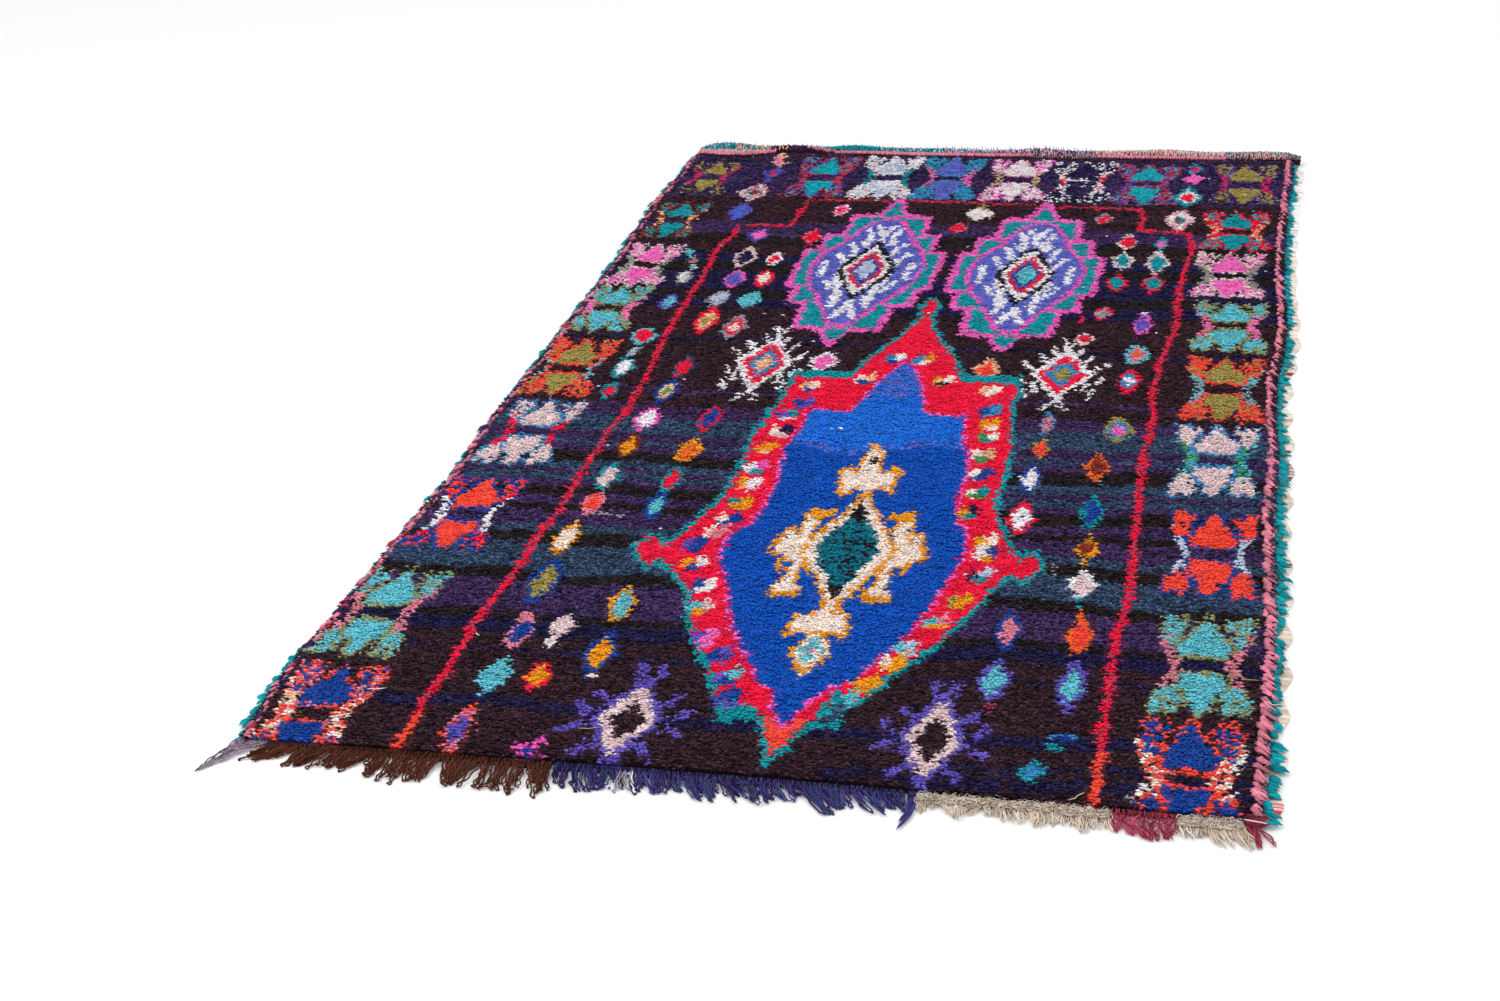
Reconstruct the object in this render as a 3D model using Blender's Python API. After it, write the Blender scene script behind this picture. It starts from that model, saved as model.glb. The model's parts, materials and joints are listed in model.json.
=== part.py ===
"""A hand-knotted shag rug, lying flat: knotted pile with long tufts down both sides, a woven selvedge, a
rolled far end and a warp fringe tied in sections at the near end.

Metres, +Z up, the floor at z = 0. +X runs across the rug and +Y from the fringe to the rolled end. The
origin lies under the middle of the whole rug. Places on the rug are given as u, across from the pile's
left edge, and v, along from its fringed edge.
"""

import math
import random

import bmesh
import bpy
from mathutils import Vector, noise

# Driving dimensions, in metres
PILE_WIDTH = 1.48
PILE_LENGTH = 2.78
PILE_HEIGHT = 0.018
GAP = 0.0003  # between neighbouring pieces
PILE_LEFT = -0.7230  # x of u = 0
PILE_NEAR = -1.3714  # y of v = 0

# The pile's slab
COLUMNS = 20
ROWS = 84
SHOULDER = 0.022  # how far in from the rim the pile comes up to its full height
RIM_HEIGHT = 0.013
LUMP_HEIGHT = 0.0045
LUMP_SPACING = 0.11
RIPPLES = (
    # u, v, radius, height of the soft swells where the cloth doesn't lie quite flat
    (0.30, 0.68, 0.20, 0.0040),
    (1.17, 0.58, 0.17, 0.0035),
    (0.20, 1.42, 0.16, 0.0025),
    (1.25, 1.50, 0.18, 0.0030),
    (0.75, 2.35, 0.22, 0.0025),
)

# The wandering outline: v, and how far out from u = 0 and from u = PILE_WIDTH the cloth reaches
SIDES = (
    # v, left, right
    (0.00, 0.004, -0.020),
    (0.20, 0.016, -0.015),
    (0.40, 0.010, -0.012),
    (0.62, 0.004, -0.014),
    (0.90, -0.004, -0.020),
    (1.12, 0.006, -0.018),
    (1.40, 0.000, -0.026),
    (1.72, 0.002, -0.012),
    (2.00, 0.004, -0.022),
    (2.20, 0.014, -0.024),
    (2.42, 0.020, -0.022),
    (2.60, 0.012, -0.016),
    (2.78, 0.008, -0.014),
)
NEAR_EDGE = 0.010  # v of the cloth's fringed edge at its two corners
NEAR_BOW = 0.008  # it draws in this much further at its middle

# The locks down both long sides
LOCK_LENGTH = 0.013
LOCK_INSET = 0.0038  # keeps the roots above the selvedge
LOCK_TIP = 0.55  # the tip's size against the root's
LOCK_SWAY = 0.005
LOCK_DROOP = (-0.001, 0.002)
LOCK_LENGTHS = (0.7, 1.15)  # shortest and longest against LOCK_LENGTH
SEED = 11

# The selvedge, past the right-hand locks' roots
SELVEDGE_WIDTH = 0.022
SELVEDGE_SCALLOP = 0.006
SCALLOP_PITCH = 0.115
SELVEDGE_THICKNESS = 0.0022

# The rolled far end
ROLL_DEPTH = 0.034
ROLL_HEIGHT = 0.027
ROLL_STEPS = 44
ROLL_SIDES = 8
ROLL_ENDS = (0.004, 0.014)  # in from the pile's left corner, and out past its right one
ROLL_LUMP = 0.25  # how much the roll's size varies
ROLL_END_TUCK = 0.25  # how much smaller it is at its two ends
ROLL_FLATTEN = 0.8  # under 1 makes the half-round fuller

# The fringe
HEADER_DEPTH = 0.010
HEADER_THICKNESS = 0.006
STRAND_GAP = 0.42  # share of the pitch that is left open between two roots
STRAND_TIP = 0.65  # the tip's width against the root's
STRAND_MIDDLE = 0.45  # how far out the strand's middle ring lies
STRAND_LENGTHS = (0.78, 1.10)  # shortest and longest against the section's length
STRAND_LEANS = (0.85, 1.15)
TIP_THICKNESS = 0.0035
FRINGES = (
    # name, yarn, from u, to u, strands, length, lean to the right over the length
    ("fringe_lilac", "lilac_yarn", -0.004, 0.044, 4, 0.040, -0.016),
    ("fringe_brown", "brown_yarn", 0.046, 0.478, 34, 0.052, -0.014),
    ("fringe_indigo", "indigo_yarn", 0.480, 0.984, 38, 0.042, -0.006),
    ("tassel_indigo", "indigo_yarn", 0.986, 1.000, 1, 0.060, -0.010),
    ("fringe_cream_left", "cream_cotton", 1.002, 1.262, 20, 0.032, -0.004),
    ("fringe_maroon", "maroon_yarn", 1.264, 1.352, 7, 0.036, -0.004),
    ("fringe_cream_right", "cream_cotton", 1.354, 1.436, 7, 0.032, 0.002),
    ("tassel_maroon", "maroon_yarn", 1.438, 1.462, 2, 0.044, 0.014),
)
TAIL_LENGTH = 0.075  # the netted corner's last strand
TAIL_LEAN = -0.050

COLOURS = {
    # name: colour, roughness
    "dark_wool": ((0.030, 0.014, 0.022, 1.0), 0.95),
    "cream_cotton": ((0.560, 0.440, 0.320, 1.0), 0.90),
    "rose_wool": ((0.480, 0.140, 0.170, 1.0), 0.92),
    "lilac_yarn": ((0.190, 0.130, 0.190, 1.0), 0.90),
    "brown_yarn": ((0.070, 0.024, 0.014, 1.0), 0.90),
    "indigo_yarn": ((0.050, 0.040, 0.150, 1.0), 0.90),
    "maroon_yarn": ((0.190, 0.024, 0.050, 1.0), 0.90),
}


def clear_scene():
    for old in list(bpy.data.objects):
        bpy.data.objects.remove(old, do_unlink=True)


def material(name):
    """The named yarn as a Principled material, made once."""
    found = bpy.data.materials.get(name)
    if found is None:
        colour, roughness = COLOURS[name]
        found = bpy.data.materials.new(name)
        found.use_nodes = True
        shader = found.node_tree.nodes["Principled BSDF"]
        shader.inputs["Base Color"].default_value = colour
        shader.inputs["Roughness"].default_value = roughness
        shader.inputs["Metallic"].default_value = 0.0
        found.diffuse_color = colour
    return found


def finish_object(name, bm, yarn):
    """Turns the edited mesh into a named object of that yarn."""
    bmesh.ops.recalc_face_normals(bm, faces=bm.faces)
    mesh = bpy.data.meshes.new(name)
    bm.to_mesh(mesh)
    bm.free()
    mesh.materials.append(material(yarn))
    mesh.shade_smooth()
    mesh.set_sharp_from_angle(angle=math.radians(50))
    made = bpy.data.objects.new(name, mesh)
    bpy.context.scene.collection.objects.link(made)
    return made


def eased(share):
    return share * share * (3 - 2 * share)


def side_at(v, column):
    """The outline's reach at v, read smoothly from SIDES."""
    for low, high in zip(SIDES, SIDES[1:]):
        if v <= high[0]:
            share = max((v - low[0]) / (high[0] - low[0]), 0.0)
            return low[column] + (high[column] - low[column]) * eased(share)
    return SIDES[-1][column]


def left_u(v):
    return -side_at(v, 1)


def right_u(v):
    return PILE_WIDTH + side_at(v, 2)


def near_v(u):
    return NEAR_EDGE + NEAR_BOW * math.sin(math.pi * min(max(u / PILE_WIDTH, 0.0), 1.0))


def pile_height(u, v):
    """The pile's top: full height inside the shoulder, lower at the rim, with soft lumps and swells."""
    inside = min(u - left_u(v), right_u(v) - u, v - near_v(u), PILE_LENGTH - v)
    rise = eased(min(max(inside / SHOULDER, 0.0), 1.0))
    lumps = LUMP_HEIGHT * noise.noise(Vector((u / LUMP_SPACING, v / LUMP_SPACING, 0.0)))
    swells = sum(
        height * math.exp(-((u - at_u) ** 2 + (v - at_v) ** 2) / (radius * radius))
        for at_u, at_v, radius, height in RIPPLES
    )
    return RIM_HEIGHT + (PILE_HEIGHT - RIM_HEIGHT) * rise + (lumps + swells) * rise


def place(u, v, z):
    return Vector((PILE_LEFT + u, PILE_NEAR + v, z))


def grid_shares(count, margin):
    """0 to 1 in count steps, of which the first and last are the shoulder's width."""
    inner = [margin + (1 - 2 * margin) * i / (count - 2) for i in range(count - 1)]
    return [0.0, *inner, 1.0]


def pile_point(across, along):
    v = PILE_LENGTH * along
    u = left_u(v) + (right_u(v) - left_u(v)) * across
    # The rows follow the bowed edge at the near end and straighten out towards the far one.
    return u, v + near_v(u) * (1 - along)


def make_pile():
    """The knotted pile with its cloth, one lumpy slab, and the locks of its two long sides."""
    bm = bmesh.new()
    shares_u = grid_shares(COLUMNS, SHOULDER / PILE_WIDTH)
    shares_v = grid_shares(ROWS, SHOULDER / PILE_LENGTH)
    top = []
    for along in shares_v:
        row = [pile_point(across, along) for across in shares_u]
        top.append([bm.verts.new(place(u, v, pile_height(u, v))) for u, v in row])
    for low, high in zip(top, top[1:]):
        for i in range(COLUMNS):
            bm.faces.new((low[i], low[i + 1], high[i + 1], high[i]))
    rim = [edge for edge in bm.edges if edge.is_boundary]
    walls = bmesh.ops.extrude_edge_only(bm, edges=rim)["geom"]
    for vert in (item for item in walls if isinstance(item, bmesh.types.BMVert)):
        vert.co.z = 0.0
    # The underside lies flat, in one strip for each row, from side to side.
    for j in range(ROWS):
        corners = [top[j][0], top[j][COLUMNS], top[j + 1][COLUMNS], top[j + 1][0]]
        below = [under(vert) for vert in corners]
        if j == 0:
            below[1:1] = [under(vert) for vert in top[0][1:COLUMNS]]
        if j == ROWS - 1:
            below[3:3] = [under(vert) for vert in reversed(top[ROWS][1:COLUMNS])]
        bm.faces.new(below)
    bmesh.ops.recalc_face_normals(bm, faces=bm.faces)
    add_locks(bm, top)
    return finish_object("rug_pile", bm, "dark_wool")


def under(vert):
    """The floor point that the wall below this rim point ends in."""
    return next(
        edge.other_vert(vert) for edge in vert.link_edges if edge.other_vert(vert).co.z == 0.0
    )


def add_locks(bm, top):
    """Draws a tapered tuft out of each piece of wall down the two long sides."""
    rng = random.Random(SEED)
    for column, outwards in ((0, -1.0), (COLUMNS, 1.0)):
        for j in range(1, ROWS - 1):
            ends = (top[j][column], top[j + 1][column])
            edge = bm.edges.get(ends)
            wall = max(edge.link_faces, key=lambda face: abs(face.normal.x))
            bmesh.ops.inset_individual(bm, faces=[wall], thickness=LOCK_INSET, depth=0.0)
            draw_lock(bm, wall, outwards, rng)


def draw_lock(bm, wall, outwards, rng):
    root = bmesh.ops.extrude_discrete_faces(bm, faces=[wall])["faces"][0]
    reach = LOCK_LENGTH * rng.uniform(*LOCK_LENGTHS)
    middle = root.calc_center_median()
    step = Vector((outwards * reach, rng.uniform(-LOCK_SWAY, LOCK_SWAY), rng.uniform(*LOCK_DROOP)))
    for vert in root.verts:
        vert.co = middle + (vert.co - middle) * LOCK_TIP + step


def make_selvedge():
    """The flat woven strip past the right-hand side, its outer edge drawn in between the scallops."""
    bm = bmesh.new()
    rows = []
    for along in grid_shares(ROWS, SHOULDER / PILE_LENGTH)[1:-1]:
        u, v = pile_point(1.0, along)
        inner = u + GAP
        swing = math.sin(math.pi * v / SCALLOP_PITCH) ** 2 - 0.5
        outer = inner + SELVEDGE_WIDTH + 2 * SELVEDGE_SCALLOP * swing
        corners = ((inner, 0.0), (outer, 0.0), (outer, 0.6), (inner, 1.0))
        rows.append([bm.verts.new(place(u, v, SELVEDGE_THICKNESS * z)) for u, z in corners])
    bridge_rows(bm, rows)
    return finish_object("selvedge_right", bm, "cream_cotton")


def bridge_rows(bm, rows):
    """Walls between each ring of points and the next, and a cap at both ends."""
    for low, high in zip(rows, rows[1:]):
        for i, start in enumerate(low):
            after = (i + 1) % len(low)
            bm.faces.new((start, low[after], high[after], high[i]))
    bm.faces.new(rows[0][::-1])
    bm.faces.new(rows[-1])


def make_end_roll():
    """The rolled far end: a low, slightly lumpy half-round that lies against the last row of pile."""
    bm = bmesh.new()
    rows = []
    first, last = left_u(PILE_LENGTH) + ROLL_ENDS[0], right_u(PILE_LENGTH) + ROLL_ENDS[1]
    for j in range(ROLL_STEPS + 1):
        u = first + (last - first) * j / ROLL_STEPS
        lump = noise.noise(Vector((u / LUMP_SPACING, PILE_LENGTH / LUMP_SPACING, 0.0)))
        size = 1.0 + ROLL_LUMP * lump - (ROLL_END_TUCK if j in (0, ROLL_STEPS) else 0.0)
        ring = []
        for i in range(ROLL_SIDES):
            turn = math.pi * i / (ROLL_SIDES - 1)
            depth = ROLL_DEPTH * size * (1 - math.cos(turn)) / 2
            height = ROLL_HEIGHT * size * max(math.sin(turn), 0.0) ** ROLL_FLATTEN
            ring.append(bm.verts.new(place(u, PILE_LENGTH + GAP + depth, height)))
        rows.append(ring)
    bridge_rows(bm, rows)
    return finish_object("end_roll", bm, "rose_wool")


def strand_tips(name, count, length, lean, rng):
    """Each strand's length and lean, in order along the strip."""
    tips = [
        (length * rng.uniform(*STRAND_LENGTHS), lean * rng.uniform(*STRAND_LEANS))
        for _ in range(count)
    ]
    if name == "fringe_lilac":
        tips[0] = (TAIL_LENGTH, TAIL_LEAN)
    return tips


def make_fringe(name, first, last, count, length, lean, yarn, rng):
    """A narrow strip along the pile's near edge, with its strands drawn out of the strip's front face."""
    bm = bmesh.new()
    pitch = (last - first) / count
    stops = []
    for i in range(count):
        stops.append(first + pitch * (i + STRAND_GAP / 2))
        stops.append(first + pitch * (i + 1 - STRAND_GAP / 2))
    rows = []
    for u in (first, *stops, last):
        back = near_v(u) - GAP
        front = back - HEADER_DEPTH
        corners = ((front, 0.0), (back, 0.0), (back, HEADER_THICKNESS), (front, HEADER_THICKNESS))
        rows.append([bm.verts.new(place(u, v, z)) for v, z in corners])
    bridge_rows(bm, rows)
    for i, (reach, drift) in enumerate(strand_tips(name, count, length, lean, rng)):
        start, end = rows[2 * i + 1], rows[2 * i + 2]
        front = bm.faces.get((start[0], start[3], end[3], end[0]))
        draw_strand(bm, front, reach, drift)
    return finish_object(name, bm, yarn)


def draw_strand(bm, front, reach, drift):
    """Two steps out along the floor, narrowing and thinning to the tip."""
    root_middle = front.calc_center_median()
    root = [vert.co.copy() for vert in front.verts]
    face = front
    for share, width, thickness in (
        (STRAND_MIDDLE, (1 + STRAND_TIP) / 2, (HEADER_THICKNESS + TIP_THICKNESS) / 2),
        (1.0, STRAND_TIP, TIP_THICKNESS),
    ):
        face = bmesh.ops.extrude_discrete_faces(bm, faces=[face])["faces"][0]
        for vert, at in zip(face.verts, root):
            across = root_middle.x + (at.x - root_middle.x) * width + drift * share * share
            height = thickness if at.z > 0 else 0.0
            vert.co = Vector((across, at.y - reach * share, height))


def make_fringes():
    rng = random.Random(SEED)
    for name, yarn, first, last, count, length, lean in FRINGES:
        make_fringe(name, first + GAP / 2, last - GAP / 2, count, length, lean, yarn, rng)


def main():
    clear_scene()
    make_pile()
    make_selvedge()
    make_end_roll()
    make_fringes()


main()
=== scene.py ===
"""The looks of a boucherouite rug, laid out as a Blender add-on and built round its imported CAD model.

Metres, +Z up, the floor at z = 0. The pattern is charted in centimetres: u across from the pile's left edge,
v up from its fringed edge.
"""

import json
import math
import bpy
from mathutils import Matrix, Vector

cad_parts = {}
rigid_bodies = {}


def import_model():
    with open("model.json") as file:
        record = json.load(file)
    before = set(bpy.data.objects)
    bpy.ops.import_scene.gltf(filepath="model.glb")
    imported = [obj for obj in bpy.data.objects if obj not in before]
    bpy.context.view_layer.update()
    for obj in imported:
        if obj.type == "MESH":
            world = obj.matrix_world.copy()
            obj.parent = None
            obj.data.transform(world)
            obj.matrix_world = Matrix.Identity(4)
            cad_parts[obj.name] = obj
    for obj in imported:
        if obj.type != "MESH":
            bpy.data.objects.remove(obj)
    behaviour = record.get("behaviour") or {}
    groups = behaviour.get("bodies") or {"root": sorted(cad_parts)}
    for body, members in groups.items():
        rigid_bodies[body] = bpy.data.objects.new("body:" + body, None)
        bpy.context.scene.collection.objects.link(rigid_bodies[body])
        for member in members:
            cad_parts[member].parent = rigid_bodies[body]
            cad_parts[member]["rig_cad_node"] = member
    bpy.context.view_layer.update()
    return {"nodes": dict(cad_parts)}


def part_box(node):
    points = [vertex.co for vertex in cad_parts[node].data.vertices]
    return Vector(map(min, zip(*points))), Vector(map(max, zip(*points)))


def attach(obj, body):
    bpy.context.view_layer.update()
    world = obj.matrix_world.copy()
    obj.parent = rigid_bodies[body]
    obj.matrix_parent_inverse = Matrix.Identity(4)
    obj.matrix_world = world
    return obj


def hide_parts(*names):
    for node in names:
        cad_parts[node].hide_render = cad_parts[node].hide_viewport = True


bl_info = {
    "name": "Boucherouite rug",
    "version": (1, 0, 0),
    "blender": (4, 5, 0),
    "location": "View3D > Sidebar > Rug",
    "description": "Knots, weaves and ties the parts of a boucherouite rug round its CAD model",
    "category": "Object",
}

import bpy
import numpy as np
from mathutils import Matrix, Vector
from mathutils.bvhtree import BVHTree

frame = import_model()
BODY = "root"
SEED = 23
PATCH_GAP = 0.08  # round each yarn end's patch of the map, as a share of its cell

# The CAD model's own places, in metres
PILE_WIDTH = 1.48
PILE_LENGTH = 2.78
PILE_LEFT = -0.7230  # x of u = 0
PILE_NEAR = -1.3714  # y of v = 0
NEAR_EDGE = 0.010  # v of the cloth's fringed edge at its two corners
NEAR_BOW = 0.008  # how much further in it lies at the middle
SIDES = (
    # v, and how far out from the pile's left and right sides the cloth reaches
    (0.00, 0.004, -0.020),
    (0.20, 0.016, -0.015),
    (0.40, 0.010, -0.012),
    (0.62, 0.004, -0.014),
    (0.90, -0.004, -0.020),
    (1.12, 0.006, -0.018),
    (1.40, 0.000, -0.026),
    (1.72, 0.002, -0.012),
    (2.00, 0.004, -0.022),
    (2.20, 0.014, -0.024),
    (2.42, 0.020, -0.022),
    (2.60, 0.012, -0.016),
    (2.78, 0.008, -0.014),
)
SELVEDGE_WIDTH = 0.022
SELVEDGE_SCALLOP = 0.006
SCALLOP_PITCH = 0.115
FRINGES = (
    # CAD node, slot, knotting, from u, to u, strands, length, lean to the right over the length
    ("fringe_lilac", "lilac_yarn", "netted", -0.004, 0.044, 4, 0.040, -0.016),
    ("fringe_brown", "brown_yarn", "looped", 0.046, 0.478, 34, 0.052, -0.014),
    ("fringe_indigo", "indigo_yarn", "looped", 0.480, 0.984, 38, 0.042, -0.006),
    ("tassel_indigo", "indigo_yarn", "tassel", 0.986, 1.000, 1, 0.060, -0.010),
    ("fringe_cream_left", "cotton", "woolly", 1.002, 1.262, 20, 0.032, -0.004),
    ("fringe_maroon", "maroon_yarn", "netted", 1.264, 1.352, 7, 0.036, -0.004),
    ("fringe_cream_right", "cotton", "woolly", 1.354, 1.436, 7, 0.032, 0.002),
    ("tassel_maroon", "maroon_yarn", "tassel", 1.438, 1.462, 2, 0.044, 0.014),
)
TAIL_LENGTH = 0.075
TAIL_LEAN = -0.050


# What a user would change


def linear(hex_colour):
    """A colour written as on a shade card, such as "DE1C3A", as the linear one that Blender mixes."""
    parts = [int(hex_colour[i : i + 2], 16) / 255 for i in (0, 2, 4)]
    return tuple(p / 12.92 if p <= 0.04045 else ((p + 0.055) / 1.055) ** 2.4 for p in parts)


def yarn(label, shade, use):
    return bpy.props.FloatVectorProperty(
        name=label, description=use, subtype="COLOR", size=3, min=0.0, max=1.0, default=linear(shade)
    )


def length(label, metres, use):
    return bpy.props.FloatProperty(
        name=label, description=use, subtype="DISTANCE", unit="LENGTH", min=0.0, default=metres
    )


class RugYarns(bpy.types.PropertyGroup):
    """The shade card: every yarn that the rug is knotted, woven or tied with."""

    brown: yarn("Aubergine brown", "351F29", "Ground of the near end")
    navy: yarn("Navy", "201B45", "Bands in the ground")
    black: yarn("Black", "241B1E", "Dark bands and the inner rings of the stepped medallions")
    purple: yarn("Purple", "412C59", "Bands in the ground")
    slate: yarn("Slate", "364966", "Bands in the ground")
    red: yarn("Red", "F61A45", "Border line and the large medallion's band")
    orange: yarn("Orange red", "FF5140", "Side motifs and the border line's near ends")
    ember: yarn("Ember", "F0702A", "Small motifs")
    rust: yarn("Rust", "8E3228", "Motif edges")
    garnet: yarn("Garnet", "C0405A", "Edges of the top row and worn parts of the border line")
    berry: yarn("Berry", "D81C78", "Diagonals of the far corners, and the blue field's edge")
    moss: yarn("Moss", "94986A", "Edges of the turquoise motifs")
    maroon: yarn("Maroon", "97384F", "Tied fringe")
    rose: yarn("Rose", "E3879D", "Inner row of the rims, and the rolled end")
    hotpink: yarn("Hot pink", "FA75C7", "Motifs of the far half")
    magenta: yarn("Magenta", "F462C6", "Outline of the stepped medallions and of the blue field")
    blush: yarn("Blush", "E9CFD1", "Pale motifs")
    cream: yarn("Cream", "FCE9DD", "Centre motif")
    white: yarn("White", "F4F0F6", "Combs and outlines")
    grey: yarn("Grey", "A49CA8", "Small motifs")
    peach: yarn("Peach", "F4BE98", "Small motifs")
    ochre: yarn("Ochre", "F2A21E", "Outline of the centre motif")
    olive: yarn("Olive", "A89751", "Motif edges")
    green: yarn("Green", "4E9A62", "Small motifs")
    teal: yarn("Teal", "129CA9", "Outer row of the rims, and outlines")
    lagoon: yarn("Lagoon", "16AEBE", "Teal motifs of the top row")
    pine: yarn("Pine", "07758C", "Core of the centre motif")
    turquoise: yarn("Turquoise", "67C5D4", "Side motifs")
    sky: yarn("Sky blue", "3E90C8", "Motifs of the top row")
    ice: yarn("Ice blue", "C2CEE6", "Pale motifs")
    royal: yarn("Royal blue", "1C47A1", "Motifs and their edges")
    field: yarn("Field blue", "0C55BE", "Near half of the large medallion's field")
    bright: yarn("Bright blue", "1F73DF", "Far half of the large medallion's field")
    periwinkle: yarn("Periwinkle", "666EC9", "Field of the stepped medallions")
    violet: yarn("Violet", "6A58C0", "Spikes of the near diamonds")
    lilac: yarn("Lilac", "8A7488", "Netted corner of the fringe")
    walnut: yarn("Walnut", "542B1E", "Brown fringe")
    indigo: yarn("Indigo", "3E3A78", "Blue fringe")
    oat: yarn("Oat", "CFBBA8", "Woolly fringe")
    linen: yarn("Linen", "DDD2C8", "Selvedge")


class RugSizes(bpy.types.PropertyGroup):
    """How closely and how long the rug is knotted."""

    pitch_across: length("Knots across", 0.0063, "From one knot to the next along a row")
    pitch_along: length("Rows", 0.0059, "From one row of knots to the next")
    pile_rise: length("Pile rise", 0.0080, "How far a yarn end climbs from its knot")
    pile_lay: length("Pile lay", 0.0090, "How far a yarn end leans over")
    end_width: length("Yarn end", 0.0038, "Half the width of a yarn end in the pile")
    bed: length("Bed", 0.0030, "How far the packed wool lies below the yarn ends")
    cloth: length("Cloth", 0.0022, "Thickness of the ground weave")
    lock: length("Rim lock", 0.020, "Length of the longer locks down both sides")
    cord: length("Fringe yarn", 0.0017, "Thickness of a fringe yarn")


# Where things lie


def side_reach(v, column):
    """How far out the cloth reaches at v, smoothly between the rows of SIDES."""
    stops = np.array(SIDES)
    v = np.clip(v, stops[0, 0], stops[-1, 0])
    low = np.clip(np.searchsorted(stops[:, 0], v, side="right") - 1, 0, len(stops) - 2)
    share = (v - stops[low, 0]) / (stops[low + 1, 0] - stops[low, 0])
    share = share * share * (3 - 2 * share)
    return stops[low, column] * (1 - share) + stops[low + 1, column] * share


def left_u(v):
    return -side_reach(v, 1)


def right_u(v):
    return PILE_WIDTH + side_reach(v, 2)


def near_v(u):
    return NEAR_EDGE + NEAR_BOW * np.sin(np.pi * np.clip(np.asarray(u) / PILE_WIDTH, 0.0, 1.0))


def placed(u, v, z):
    """Points of the row frame, from places on the rug."""
    u, v, z = np.broadcast_arrays(u, v, z)
    return np.stack([PILE_LEFT + u, PILE_NEAR + v, z], -1)


def solid(node):
    mesh = frame["nodes"][node].data
    return BVHTree.FromPolygons(
        [vert.co for vert in mesh.vertices], [face.vertices for face in mesh.polygons]
    )


def height_over(tree, u, v, otherwise=0.012):
    """The top of a CAD solid at each place."""
    found = np.empty(len(u))
    down = Vector((0, 0, -1))
    for i, (x, y) in enumerate(zip(PILE_LEFT + u, PILE_NEAR + v)):
        hit = tree.ray_cast(Vector((x, y, 1.0)), down)[0]
        found[i] = otherwise if hit is None else hit.z
    return found


def unit(vectors):
    return vectors / np.maximum(np.linalg.norm(vectors, axis=-1, keepdims=True), 1e-12)


# Yarn as mesh


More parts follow.
